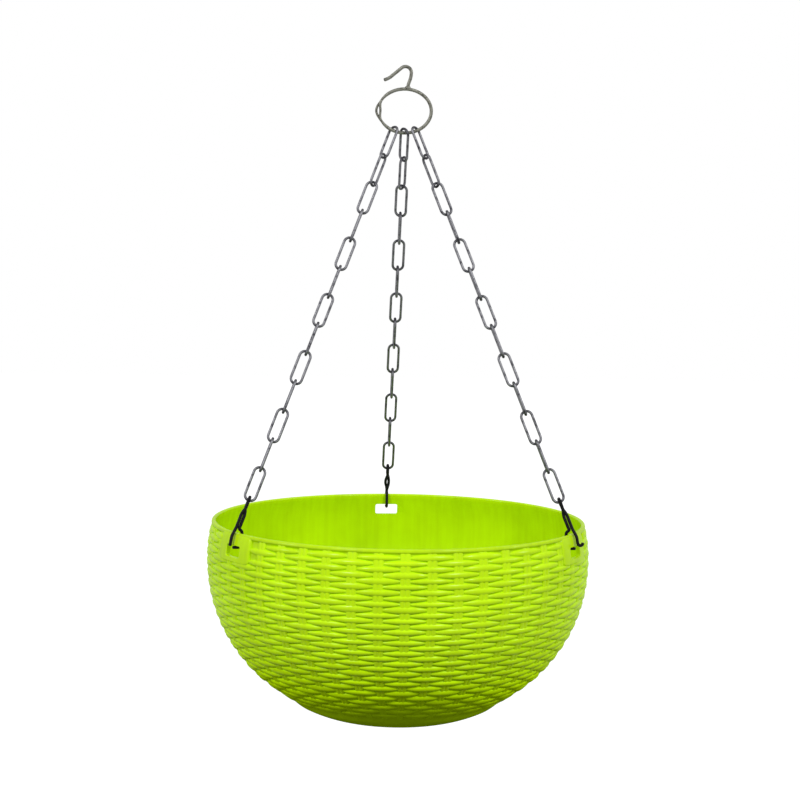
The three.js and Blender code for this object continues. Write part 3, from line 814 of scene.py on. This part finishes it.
def add_world(stage):
    """Even light from all round, with a white background for the rays that see it."""
    world = bpy.data.worlds.new("studio")
    bpy.context.scene.world = world
    tree = empty_tree(world)
    ambient, white = (
        make_node(tree, "ShaderNodeBackground", Color=WHITE, Strength=strength).outputs["Background"]
        for strength in (stage.ambient, 1.0))
    show_by_ray(tree, ambient, white, "ShaderNodeOutputWorld")


def add_light(name, azimuth, elevation, level, softness):
    """An even soft light from a direction, counted to the right of the front and up from level."""
    light = bpy.data.lights.new(name, "SUN")
    light.energy = math.pi * level
    light.angle = softness
    flat = math.cos(elevation)
    source = Vector((flat * math.sin(azimuth), -flat * math.cos(azimuth), math.sin(elevation)))
    add_object(name, light).rotation_euler = (-source).to_track_quat("-Z", "Y").to_euler()


def add_camera(stage):
    """The camera looks slightly down at a point above the rim, with the picture turned a little."""
    side = Vector((math.cos(stage.azimuth), math.sin(stage.azimuth), 0))
    ahead = Vector((
        -math.sin(stage.azimuth) * math.cos(stage.elevation),
        math.cos(stage.azimuth) * math.cos(stage.elevation),
        -math.sin(stage.elevation),
    ))
    above = side.cross(ahead)
    aim = side * stage.aim_aside + Vector((0, 0, BOWL_HIGH.z + stage.aim_rise))
    right = side * math.cos(stage.roll) + above * math.sin(stage.roll)
    up = above * math.cos(stage.roll) - side * math.sin(stage.roll)
    data = bpy.data.cameras.new("front_view")
    data.sensor_width = SENSOR_WIDTH
    data.lens = stage.lens
    camera = add_object("front_view", data)
    turned = Matrix((right, up, -ahead)).transposed().to_4x4()
    camera.matrix_world = Matrix.Translation(aim - ahead * stage.distance) @ turned
    bpy.context.scene.camera = camera


class PLANTER_OT_build_stage(bpy.types.Operator):
    """Set the camera, the lamps, the world and the floor"""

    bl_idname = "planter.build_stage"
    bl_label = "Stage"

    def execute(self, context):
        stage = settings("stage")
        context.scene.view_settings.view_transform = "Standard"
        add_camera(stage)
        add_world(stage)
        lamps = (
            ("key_light", stage.key_azimuth, stage.front_elevation, stage.key_level),
            ("fill_light", -stage.fill_azimuth, stage.front_elevation, stage.fill_level),
            ("right_light", stage.side_azimuth, stage.side_elevation, stage.side_level),
            ("left_light", -stage.side_azimuth, stage.side_elevation, stage.side_level),
        )
        for lamp in lamps:
            add_light(*lamp, stage.softness)
        half = stage.floor_size / 2
        level = BOWL_LOW.z - stage.floor_drop
        corners = [(-half, -half, level), (half, -half, level), (half, half, level), (-half, half, level)]
        mesh = mesh_of("floor", corners, [np.array([[0, 1, 2, 3]])])
        mesh.materials.append(floor_material(stage))
        add_object("floor", mesh)
        return {"FINISHED"}


# Bowl


def rounded_outline(half_width, half_height, corner):
    """A rectangle with round corners, at even steps of its length, from the right middle upwards."""
    quarter = np.linspace(0, np.pi / 2, CORNER_POINTS)
    turns = np.concatenate([quarter + start for start in np.radians([0, 90, 180, 270])])
    flat_x = (half_width - corner) * np.repeat([1, -1, -1, 1], len(quarter))
    flat_y = (half_height - corner) * np.repeat([1, 1, -1, -1], len(quarter))
    round_part = np.stack([flat_x + corner * np.cos(turns), flat_y + corner * np.sin(turns)], axis=1)
    start = np.array([[half_width, 0.0]])
    return evenly_along(np.vstack([start, round_part, start]), PANEL_POINTS + 1)[:-1]


def level_section(radii, depth):
    """Section points at some radii, all at one depth below the rim."""
    return np.stack([radii, np.full(len(radii), BOWL_HIGH.z - depth)], axis=1)


def bowl_profile():
    """Radius and height of the bowl's section, from the underside's middle round to the inside's middle.

    The outside follows the ground between the strands, and comes up to the crests at the lip and the
    base. The rim has two quarter rounds, and the inside is the outline moved in by the wall.
    """
    bowl = settings("bowl")
    foot_inside = bowl.base_radius - bowl.foot_width
    under_radii = np.linspace(MIDDLE_RING, foot_inside - bowl.foot_height, FLAT_ROWS)
    under = level_section(under_radii, bowl.height - bowl.foot_height)
    foot = np.array([[foot_inside, BOWL_LOW.z], [bowl.base_radius - FOOT_EDGE, BOWL_LOW.z]])
    side = even_depths(bowl.height, bowl.rim_rounding, SIDE_ROWS)
    lip = np.linspace(LIP_ROWS_START, bowl.rim_rounding, LIP_ROWS)
    depth = np.concatenate([side[side > SIDE_ROWS_STOP], lip])
    outer = np.stack(wall_section(depth, ground_offset(depth)), axis=1)
    turns = np.linspace(0, np.pi / 2, RIM_ROWS)[1:]
    outer_middle = crest_radius(bowl.rim_rounding) - bowl.rim_rounding
    inner_middle = inner_radius(bowl.rim_rounding) + bowl.rim_rounding
    rim_level = BOWL_HIGH.z - bowl.rim_rounding
    arc = bowl.rim_rounding * np.stack([np.cos(turns), np.sin(turns)], axis=1)
    rim_out = arc + [outer_middle, rim_level]
    rim_in = arc[::-1] * [-1, 1] + [inner_middle, rim_level]
    inside = even_outline(inner_radius, bowl.rim_rounding, floor_depth(), SIDE_ROWS)
    inner = np.stack([inside[:, 0], BOWL_HIGH.z - inside[:, 1]], axis=1)
    floor_radii = np.linspace(inside[-1, 0], MIDDLE_RING, FLAT_ROWS + 1)[1:]
    return np.vstack([under, foot, outer, rim_out, rim_in, inner, level_section(floor_radii, floor_depth())])


def at_each_slot(points):
    """Points about the +X direction, turned to each of the three slots in a row."""
    bodies = []
    for chain in CHAINS.values():
        cosine, sine = math.cos(chain["azimuth"]), math.sin(chain["azimuth"])
        spin = np.array([[cosine, sine, 0], [-sine, cosine, 0], [0, 0, 1]])
        bodies.append(points.reshape(-1, 3) @ spin)
    return np.vstack(bodies)


def slot_cutter():
    """Three bars, slightly larger than the slots, that cut straight out through the wall.

    Each runs from four wall thicknesses inside the rim to two outside the widest level.
    """
    bowl = settings("bowl")
    outline = rounded_outline(
        bowl.slot_width / 2 + SLOT_ROOM, bowl.slot_height / 2 + SLOT_ROOM, bowl.slot_corner + SLOT_ROOM)
    level = BOWL_HIGH.z - bowl.slot_depth - bowl.slot_height / 2
    middles = np.array([
        [bowl.rim_radius - 4 * bowl.wall, 0, level],
        [bowl.radius + 2 * bowl.wall, 0, level],
    ])
    across = np.pad(outline, ((0, 0), (1, 0)))
    bar = np.vstack([(middles[:, None] + across).reshape(-1, 3), middles])
    faces = [repeated(group, len(CHAINS), len(bar)) for group in capped_faces(2, PANEL_POINTS)]
    return add_object("slot_cutter", mesh_of("slot_cutter", at_each_slot(bar), faces))


def cut_slots(piece):
    """Cuts the three slots out of a piece's mesh."""
    cutter = slot_cutter()
    cut = piece.modifiers.new("slots", "BOOLEAN")
    cut.operation = "DIFFERENCE"
    cut.solver = "EXACT"
    cut.object = cutter
    graph = bpy.context.evaluated_depsgraph_get()
    mesh = bpy.data.meshes.new_from_object(piece.evaluated_get(graph))
    piece.modifiers.clear()
    mesh.name = piece.name
    piece.data = mesh
    bpy.data.objects.remove(cutter)
    smooth(mesh)


def add_moulded(name, points, faces, tone, replaced=()):
    """A piece of the bowl, in its plastic."""
    return add_piece(name, points, faces, lime_plastic(), "basket", replaced, tone)


class PLANTER_OT_build_shell(bpy.types.Operator):
    """Turn the moulded shell: plain lip, ground of the weave, foot and smooth inside, with three slots"""

    bl_idname = "planter.build_shell"
    bl_label = "Bowl shell"

    def execute(self, context):
        section = bowl_profile()
        angle = np.linspace(0, 2 * np.pi, BOWL_SEGMENTS, endpoint=False)
        rings = round_points(section[:, :1], angle, section[:, 1:])
        poles = [[0, 0, section[0, 1]], [0, 0, section[-1, 1]]]
        points = np.vstack([rings.reshape(-1, 3), poles])
        faces = capped_faces(len(section), BOWL_SEGMENTS)
        cut_slots(add_moulded("bowl_shell", points, faces, SHELL_SHADE_TONE, ["planter_bowl"]))
        return {"FINISHED"}


def relief_section():
    """Section of a moulded bar: how far aside its points lie and how high, as shares of 1.

    Aside is the sine of the angle and the height is the cosine to a power below 1, which flattens the
    top. The one point behind lies a little under the ground.
    """
    rise = np.clip(np.cos(RELIEF_ANGLES), 0, 1) ** settings("weave").flat_top
    behind = np.isclose(RELIEF_ANGLES, np.pi)
    return np.sin(RELIEF_ANGLES), np.where(behind, -SUNK_SHARE, rise)


def stake_spacing():
    """Angle from one stake to the next."""
    return 2 * np.pi / settings("weave").stake_count


def panel_half_turn():
    """Half the angle that a slot's plain panel takes up round the rim."""
    bowl = settings("bowl")
    return (bowl.slot_width / 2 + bowl.panel_margin) / bowl.rim_radius


def from_panel(direction):
    """Angles from the middle of the nearest slot's panel, above 0 on its right as seen from outside."""
    azimuths = np.array([chain["azimuth"] for chain in CHAINS.values()])
    turned = (direction[..., None] - azimuths + np.pi) % (2 * np.pi) - np.pi
    nearest = np.abs(turned).argmin(axis=-1)[..., None]
    return np.take_along_axis(turned, nearest, axis=-1)[..., 0]


def on_panel(direction):
    """Whether directions fall on the plain panel of one of the three slots."""
    return np.abs(from_panel(direction)) < panel_half_turn()


def strand_reach(middle, level, along):
    """Half length of strands as an angle, cut short where a strand would run far under a panel."""
    weave = settings("weave")
    full = weave.strand_reach * stake_spacing()
    turned = from_panel(middle)
    room = np.maximum(np.abs(turned) - panel_half_turn(), 0) + weave.panel_tuck * stake_spacing()
    heads_in = (turned * along < 0) & (level < settings("bowl").panel_depth)
    return np.where(heads_in, np.minimum(full, room), full)


def add_weave(name, rings, ends, tone):
    """Many bars of the weave as one piece. Each bar's last points are the middles of its two end rings."""
    count, ring_count, sides = rings.shape[:3]
    points = np.concatenate([rings.reshape(count, -1, 3), ends.mean(axis=2)], axis=1)
    faces = [repeated(group, count, points.shape[1]) for group in capped_faces(ring_count, sides)]
    add_moulded(name, points, faces, np.broadcast_to(tone, points.shape[:2]))


class PLANTER_OT_build_stakes(bpy.types.Operator):
    """Add the upright stakes of the weave, each two bars side by side from lip to base"""

    bl_idname = "planter.build_stakes"
    bl_label = "Weave stakes"

    def execute(self, context):
        weave = settings("weave")
        bowl = settings("bowl")
        spacing = stake_spacing()
        stake = weave.stake_start + spacing * np.arange(weave.stake_count)
        bars = (stake[:, None] + spacing * weave.bar_spread * np.array([-1, 1])).ravel()[:, None, None]
        last = row_depths()[-1] + weave.row_pitch
        from_lip, below_panel = (
            even_depths(start, last, STAKE_RINGS)[None, :, None]
            for start in (weave.lip, bowl.panel_depth - bowl.panel_edge))
        depth = np.where(on_panel(bars), below_panel, from_lip)
        aside, rise = relief_section()
        angle = bars - spacing * weave.bar_width * aside
        belly = ease(depth, bowl.widest_depth, last)
        crest = (weave.relief - weave.bar_crest - weave.bar_sink * belly) * (1 - flattening(depth))
        rings = wall_points(angle, depth, -weave.relief + crest * rise)
        add_weave("weave_stakes", rings, rings[:, [0, -1]], STAKE_LIT_TONE)
        return {"FINISHED"}


class PLANTER_OT_build_strands(bpy.types.Operator):
    """Weave the rows of lens-shaped strands, each over one stake and dipping behind its neighbours"""

    bl_idname = "planter.build_strands"
    bl_label = "Weave strands"

    def execute(self, context):
        weave = settings("weave")
        bowl = settings("bowl")
        spacing = stake_spacing()
        row, stake = np.meshgrid(np.arange(weave.row_count), np.arange(weave.stake_count), indexing="ij")
        over = (row + stake) % 2 == 1
        middle = weave.stake_start + spacing * stake[over]
        level = row_depths()[row[over]]
        draw = np.random.default_rng(weave.seed)
        swell, slip, shade = draw.uniform(-1, 1, (3, len(level)))
        keep = ~(on_panel(middle) & (level < bowl.panel_depth))
        middle, level, swell, slip, shade = (
            values[keep][:, None, None] for values in (middle, level, swell, slip, shade))
        along = np.sin(np.linspace(-np.pi / 2, np.pi / 2, STRAND_RINGS + 2))[None, :, None]
        aside, rise = relief_section()
        taper = 1 - np.abs(along) ** weave.strand_taper
        belly = ease(level, bowl.widest_depth, bowl.height)
        tall = weave.strand_height * (1 - weave.strand_thinning * belly)
        half = weave.row_pitch / 2 * tall * (1 + weave.unevenness * swell)
        crest = weave.relief * (1 - flattening(level)) * (1 - np.abs(along) ** weave.strand_fall)
        angle = middle + spacing * weave.slip * slip + strand_reach(middle, level, along) * along
        rings = wall_points(angle, level + half * taper * aside, -weave.relief + crest * rise)
        tone = STRAND_TONE + STRAND_TONE_SPREAD * shade[:, :, 0]
        add_weave("weave_strands", rings[:, 1:-1], rings[:, [0, -1]], tone)
        return {"FINISHED"}


def outline_on_wall(width, top, bottom, corner):
    """A round-cornered outline on the wall, as places aside and depths below the rim."""
    outline = rounded_outline(width / 2, (bottom - top) / 2, corner)
    return np.stack([outline[:, 0], (top + bottom) / 2 - outline[:, 1]], axis=1)[::-1]


def panel_rows():
    """Rows of a panel, from inside its slot to its outer edge: the way out, and the offset from the crests.

    The way out is 0 on the slot's outline and 1 on the panel's. Two rows line the slot, the next
    ones are plain, and at the panel's edge they fall by the relief in a quarter of an ellipse.
    """
    bowl = settings("bowl")
    relief = settings("weave").relief
    edge = bowl.panel_edge / bowl.panel_margin
    turns = np.linspace(0, np.pi / 2, PANEL_EDGE_ROWS)
    plain = np.linspace(PLAIN_SHARE, 1 - edge, PANEL_ROWS)[:-1]
    way_out = np.concatenate([[0, 0, BEVEL_SHARE], plain, 1 - edge * (1 - np.sin(turns)), [1]])
    lining = [-bowl.wall, -bowl.slot_bevel]
    proud = np.full(PANEL_ROWS, PANEL_PROUD)
    falling = PANEL_PROUD - relief * (1 - np.cos(turns))
    offset = np.concatenate([lining, proud, falling, [-relief - bowl.slot_bevel]])
    return way_out[:, None], offset[:, None]


class PLANTER_OT_build_panels(bpy.types.Operator):
    """Add the plain panel round each slot, level with the crests, with the slot's lining"""

    bl_idname = "planter.build_panels"
    bl_label = "Slot panels"

    def execute(self, context):
        bowl = settings("bowl")
        slot = outline_on_wall(
            bowl.slot_width, bowl.slot_depth, bowl.slot_depth + bowl.slot_height, bowl.slot_corner)
        panel = outline_on_wall(
            bowl.slot_width + 2 * bowl.panel_margin, settings("weave").lip - bowl.panel_edge,
            bowl.panel_depth, bowl.panel_corner)
        way_out, offset = panel_rows()
        place = slot + way_out[..., None] * (panel - slot)
        aside, depth = place[..., 0], place[..., 1]
        radius, height = wall_section(depth, offset)
        straight_in = way_out == 0
        radius = np.where(straight_in, crest_radius(depth) + offset, radius)
        height = np.where(straight_in, BOWL_HIGH.z - depth, height)
        flat = np.stack([np.sqrt(radius**2 - aside**2), aside, height], axis=-1)
        quads = grid_quads(len(way_out), PANEL_POINTS, close_rows=True)
        faces = [repeated(quads, len(CHAINS), aside.size)]
        add_moulded("slot_panels", at_each_slot(flat), faces, PANEL_TONE)
        return {"FINISHED"}


# Ring and hook


def ring_path():
    """Middle line and radius of the ring's wire: an oval whose thinned ends lap and bow apart at -X.

    The angle is counted from the lowest point towards +X. Within the lap the ends move out and in by
    a squared cosine, and stand before and behind each other.
    """
    wire = settings("wire")
    half_width = (wire.ring_width - wire.ring_wire) / 2
    half_height = (wire.ring_height - wire.ring_wire) / 2
    lap = wire.lap_half
    angle = np.linspace(-np.pi / 2 - lap, 1.5 * np.pi + lap, RING_STEPS)
    level = np.zeros(RING_STEPS)
    end = np.where(angle < np.pi / 2, -1, 1)
    from_lap = np.abs(angle - np.where(end < 0, -np.pi / 2, 1.5 * np.pi)) / lap
    in_lap = np.where(from_lap < 1, np.cos(from_lap * np.pi / 2) ** 2, 0)
    leaving = 1 - ease(from_lap, 1, 2)
    outward = unit(np.stack([np.sin(angle) / half_width, level, -np.cos(angle) / half_height], axis=1))
    bow = (wire.lap_eye + wire.lap_wire) / 2
    aside = (wire.lap_wire + wire.link_gap) / 2
    oval = np.stack([half_width * np.sin(angle), level, -half_height * np.cos(angle)], axis=1)
    middle = [0, 0, -wire.hook_height - half_height]
    path = middle + oval + (end * bow * in_lap)[:, None] * outward
    path[:, 1] += end * aside * leaving
    return path, (wire.ring_wire + (wire.lap_wire - wire.ring_wire) * leaving) / 2


class PLANTER_OT_build_ring(bpy.types.Operator):
    """Bend the ring from one wire, with its two ends lapped"""

    bl_idname = "planter.build_ring"
    bl_label = "Ring"

    def execute(self, context):
        path, radii = ring_path()
        points, faces = wire_surface(path, radii, (0, 1, 0), RING_END)
        add_piece("ring_wire", points, faces, ring_steel(), "hanger", ["hanging_ring"])
        return {"FINISHED"}


def upright_points(aside, height):
    """Points in the upright plane of the ring and the hook."""
    return np.stack([aside, np.zeros_like(aside), height], axis=-1)


def hook_path():
    """Middle line of the hook: a stem that leans out, a round crown, a straight arm and a turned-out lip.

    The stem is a cubic curve with two control points between its ends, the crown is an arc, and the
    elbow before the lip is a quadratic curve with the arm's end as its control point.
    """
    wire = settings("wire")
    crown_level = wire.ring_wire / 2 - wire.hook_bend
    turns = np.linspace(0, wire.hook_wrap, BEND_POINTS)
    crown = upright_points(wire.hook_bend * np.cos(turns), crown_level + wire.hook_bend * np.sin(turns))
    foot = np.array([wire.hook_foot, 0, wire.ring_wire / 2 - wire.hook_height])
    rise = crown_level - foot[2]
    lower = foot + [0, 0, rise / 3]
    upper = np.array([wire.hook_bend, 0, foot[2] + rise / 2])
    t = np.linspace(0, 1, BEND_POINTS)[:-1, None]
    stem = (1 - t) ** 3 * foot + 3 * (1 - t) ** 2 * t * lower + 3 * (1 - t) * t**2 * upper + t**3 * crown[0]
    lip_turn = wire.hook_wrap - wire.hook_lip_turn
    heading = np.array([wire.hook_wrap, lip_turn])
    along, lip_along = upright_points(-np.sin(heading), np.cos(heading))
    arm_end = crown[-1] + wire.hook_arm * along
    bend = wire.hook_lip / 3
    s = np.linspace(0, 1, ELBOW_POINTS)[:, None]
    before, after = arm_end - 2 * bend * along, arm_end + 2 * bend * lip_along
    elbow = (1 - s) ** 2 * before + 2 * (1 - s) * s * arm_end + s**2 * after
    tip = arm_end + wire.hook_lip * lip_along
    return evenly_along(np.vstack([stem, crown, elbow, tip]), HOOK_STEPS)


def weld_surface():
    """A lumpy bead: an ellipsoid round the hook's foot, swelled by a few sine waves."""
    wire = settings("wire")
    middle = np.array([wire.hook_foot, 0, WELD_RISE * wire.ring_wire - wire.hook_height])
    half = np.array(WELD_HALF) * wire.ring_wire
    around = np.linspace(0, 2 * np.pi, WELD_SIDES, endpoint=False)[None, :]
    fall = np.linspace(0, np.pi, WELD_RINGS + 2)[1:-1, None]
    waves = [strength * np.sin(count * around + slant * fall) for strength, count, slant in WELD_WAVES]
    ball = round_points(np.sin(fall), around, -np.cos(fall))
    rings = middle + ball * (1 + sum(waves))[..., None] * half
    poles = middle + np.array([[0, 0, -1], [0, 0, 1]]) * half
    return np.vstack([rings.reshape(-1, 3), poles]), capped_faces(WELD_RINGS, WELD_SIDES)


class PLANTER_OT_build_hook(bpy.types.Operator):
    """Bend the hook and set its weld bead on the ring"""

    bl_idname = "planter.build_hook"
    bl_label = "Hook"

    def execute(self, context):
        points, faces = wire_surface(hook_path(), settings("wire").ring_wire / 2, (0, 1, 0), HOOK_END)
        add_piece("hook_wire", points, faces, ring_steel(), "hanger", ["hanging_hook"])
        points, faces = weld_surface()
        add_piece("hook_weld", points, faces, ring_steel(), "hanger")
        return {"FINISHED"}


# Chains and clips


def chain_axes(name):
    """Directions of a chain: across the front, away from the viewer, and up the chain."""
    up = unit(np.array(JOINTS[name + "_link_02_twist"]["axis"], float))
    away = square_to(np.array([0.0, 1.0, 0.0]), up)
    return np.cross(away, up), away, up


def link_middles(name):
    """Middle of each link: where the links twist, and one step above the second for the first."""
    below = [JOINTS[f"{name}_link_{number:02d}_twist"]["pos_m"] for number in range(2, LINK_COUNT + 1)]
    below = np.array(below, float)
    return np.vstack([2 * below[:1] - below[1:2], below])


def link_path():
    """Middle line of a link: two straight legs and two half circles, from a butt seam in one leg."""
    wire = settings("wire")
    bend = (wire.link_width - wire.link_wire) / 2
    leg = (wire.link_inside + wire.link_wire) / 2 - bend
    turns = np.linspace(0, np.pi, BEND_POINTS)
    top = np.stack([bend * np.cos(turns), leg + bend * np.sin(turns)], axis=1)
    seam = wire.link_seam / 2
    outline = np.vstack([[[bend, seam]], top, -top, [[bend, -seam]]])
    return evenly_along(outline, LINK_STEPS)


def link_turn(number, turn_side):
    """Turn of a link about its chain: every other link is crosswise, and the first ones sit askew."""
    askew = max(LINKS_TO_STRAIGHTEN + 1 - number, 0) / LINKS_TO_STRAIGHTEN
    crosswise = math.pi / 2 if number % 2 == 0 else 0
    return crosswise - turn_side * settings("wire").first_turn * askew


class PLANTER_OT_build_chains(bpy.types.Operator):
    """Bend the links of the three chains and hang each in its place"""

    bl_idname = "planter.build_chains"
    bl_label = "Chains"

    def execute(self, context):
        outline = link_path()
        wire = settings("wire")
        radius = wire.link_wire / 2
        reach = wire.link_inside / 2 + wire.link_wire
        for name, chain in CHAINS.items():
            across, away, up = chain_axes(name)
            for number, middle in enumerate(link_middles(name), start=1):
                turned = link_turn(number, chain["turn_side"])
                wide = math.cos(turned) * across + math.sin(turned) * away
                path = middle + outline[:, :1] * wide + outline[:, 1:] * up
                points, faces = wire_surface(path, radius, np.cross(up, wide), LINK_END)
                # Painted shade at both ends of each link, where it meets the next
                contact_shade = ease(np.abs((points - middle) @ up), SHADED_FROM * reach, reach)
                body = "basket" if number == 1 else f"{name}_link_{number:02d}"
                node = f"{name}_chain_link_{number:02d}"
                add_piece(f"{name}_link_wire_{number:02d}", points, faces, chain_steel(), body,
                          [node], contact_shade)
        return {"FINISHED"}


def wire_room(depth):
    """Sideways room from the sloping wall to a clip wire's middle line, for the clip's gap."""
    wire = settings("wire")
    return (wire.clip_wire / 2 + wire.clip_gap) * np.hypot(1, wall_slope(depth))


def clip_path(name):
    """Middle line of a clip, from the outer leg's end up the twisted pair, round the eye and down.

    The wires part above the rim. The outer leg stands off the wall, with a curl on one clip, and the
    inner leg hangs straight down inside and bends out into the slot.
    """
    wire = settings("wire")
    bowl = settings("bowl")
    across, away, up = chain_axes(name)
    azimuth = CHAINS[name]["azimuth"]
    out = np.array([math.cos(azimuth), math.sin(azimuth), 0])
    pair = (wire.clip_wire + wire.clip_gap) / 2
    eye_radius = wire.link_wire / 2 + wire.link_gap + wire.clip_wire / 2
    eye_rise = wire.clip_shank - eye_radius
    eye_middle = np.array(JOINTS[name + "_clip_sway"]["pos_m"], float)
    part = eye_middle - eye_rise * up
    outward = square_to(out, up)
    sideways = np.cross(up, outward)
    twist_top = eye_rise - eye_radius - wire.clip_neck
    eye_turn = math.pi / 2 - math.atan2(outward @ away, outward @ across)
    least = eye_turn - math.pi * round(eye_turn / math.pi)
    twist = least + math.pi if abs(least) < wire.clip_small_twist else least
    rate = max(2 * math.pi / wire.clip_twist, abs(twist) / twist_top)
    rise = np.linspace(0, twist_top, PAIR_POINTS)[:, None]
    spin = math.copysign(1, twist) * np.maximum(abs(twist) - rate * (twist_top - rise), 0)
    lean = pair * (np.cos(spin) * outward + np.sin(spin) * sideways)
    outer_strand = part + lean + rise * up
    inner_strand = part - lean + rise * up
    eye_side = np.sign(lean[-1] @ away) * away
    swing = wire.clip_eye_half * np.linspace(1, -1, EYE_POINTS)[:, None]
    eye = eye_middle + eye_radius * (np.sin(swing) * eye_side + np.cos(swing) * up)
    band = bowl.rim_radius - bowl.wall / 2

    def at_wall(radius, depth):
        """A point under the rim at a radius and a depth, in the slot's upright plane."""
        return part + (radius - band) * out - np.array([0, 0, wire.clip_rise + depth])

    def outer_leg(depth, flare):
        """A point of the outer leg, at a flare off the wall."""
        return at_wall(crest_radius(depth) + wire.clip_wire / 2 + flare, depth)

    foot_depth = bowl.slot_depth + wire.clip_gap + wire.clip_wire / 2
    inner = min(crest_radius(depth) - bowl.wall - wire_room(depth) for depth in (0.0, foot_depth))
    curled = CHAINS[name]["curled_leg"]
    leg_depth = wire.clip_leg * up[2] - wire.clip_rise - pair * outward[2] - curled * wire.clip_curl
    leg_end = outer_leg(leg_depth, wire.clip_flare)
    curl_turn = wire.clip_curl_turn * np.linspace(1, 1 / CURL_POINTS, CURL_POINTS)[:, None]
    curl = leg_end + wire.clip_curl * ((1 - np.cos(curl_turn)) * outward - np.sin(curl_turn) * up)
    route = np.vstack([
        curl if curled else curl[:0],
        leg_end,
        outer_leg(leg_depth / 4, wire.clip_rim_room),
        outer_strand,
        eye,
        inner_strand[::-1],
        at_wall(inner, -wire.clip_wire / 4),
        at_wall(inner, bowl.slot_depth / 2),
        at_wall(inner, foot_depth - wire.clip_bend),
        at_wall(inner, foot_depth) + wire.clip_bend * out,
        at_wall(crest_radius(foot_depth) - wire.clip_gap, foot_depth),
    ])
    return smooth_route(route, CLIP_STEPS), across


class PLANTER_OT_build_clips(bpy.types.Operator):
    """Bend the three black clips that hold the chains on the rim"""

    bl_idname = "planter.build_clips"
    bl_label = "Rim clips"

    def execute(self, context):
        radius = settings("wire").clip_wire / 2
        for name in CHAINS:
            path, across = clip_path(name)
            points, faces = wire_surface(path, radius, across, CLIP_END)
            node = f"{name}_rim_clip"
            add_piece(
                f"{name}_clip_wire", points, faces, black_coat(), f"{name}_clip", [node])
        return {"FINISHED"}


class PLANTER_PT_sidebar(bpy.types.Panel):
    """Buttons for the pieces and the values behind them"""

    bl_idname = "PLANTER_PT_sidebar"
    bl_label = "Hanging planter"
    bl_space_type = "VIEW_3D"
    bl_region_type = "UI"
    bl_category = "Planter"

    def draw(self, context):
        for operator in OPERATORS:
            self.layout.operator(operator.bl_idname)
        for group in GROUPS:
            values = settings(group)
            box = self.layout.box()
            box.label(text=group.capitalize())
            for name in values.__annotations__:
                box.prop(values, name)


GROUPS = {
    "bowl": PLANTER_PG_bowl,
    "weave": PLANTER_PG_weave,
    "wire": PLANTER_PG_wire,
    "finish": PLANTER_PG_finish,
    "stage": PLANTER_PG_stage,
}
OPERATORS = (
    PLANTER_OT_build_stage,
    PLANTER_OT_build_shell,
    PLANTER_OT_build_stakes,
    PLANTER_OT_build_strands,
    PLANTER_OT_build_panels,
    PLANTER_OT_build_ring,
    PLANTER_OT_build_hook,
    PLANTER_OT_build_chains,
    PLANTER_OT_build_clips,
)


def register():
    """Registers the property groups, the operators and the panel."""
    for group, kind in GROUPS.items():
        bpy.utils.register_class(kind)
        setattr(bpy.types.Scene, "planter_" + group, PointerProperty(type=kind))
    for kind in (*OPERATORS, PLANTER_PT_sidebar):
        bpy.utils.register_class(kind)


def unregister():
    """Takes the classes and the scene's values away again."""
    for kind in (PLANTER_PT_sidebar, *reversed(OPERATORS)):
        bpy.utils.unregister_class(kind)
    for group, kind in reversed(GROUPS.items()):
        delattr(bpy.types.Scene, "planter_" + group)
        bpy.utils.unregister_class(kind)


def main():
    """Registers the classes, and builds the stage and every piece in order."""
    register()
    bpy.ops.planter.build_stage()
    bpy.ops.planter.build_shell()
    bpy.ops.planter.build_stakes()
    bpy.ops.planter.build_strands()
    bpy.ops.planter.build_panels()
    bpy.ops.planter.build_ring()
    bpy.ops.planter.build_hook()
    bpy.ops.planter.build_chains()
    bpy.ops.planter.build_clips()


if __name__ == "__main__":
    main()
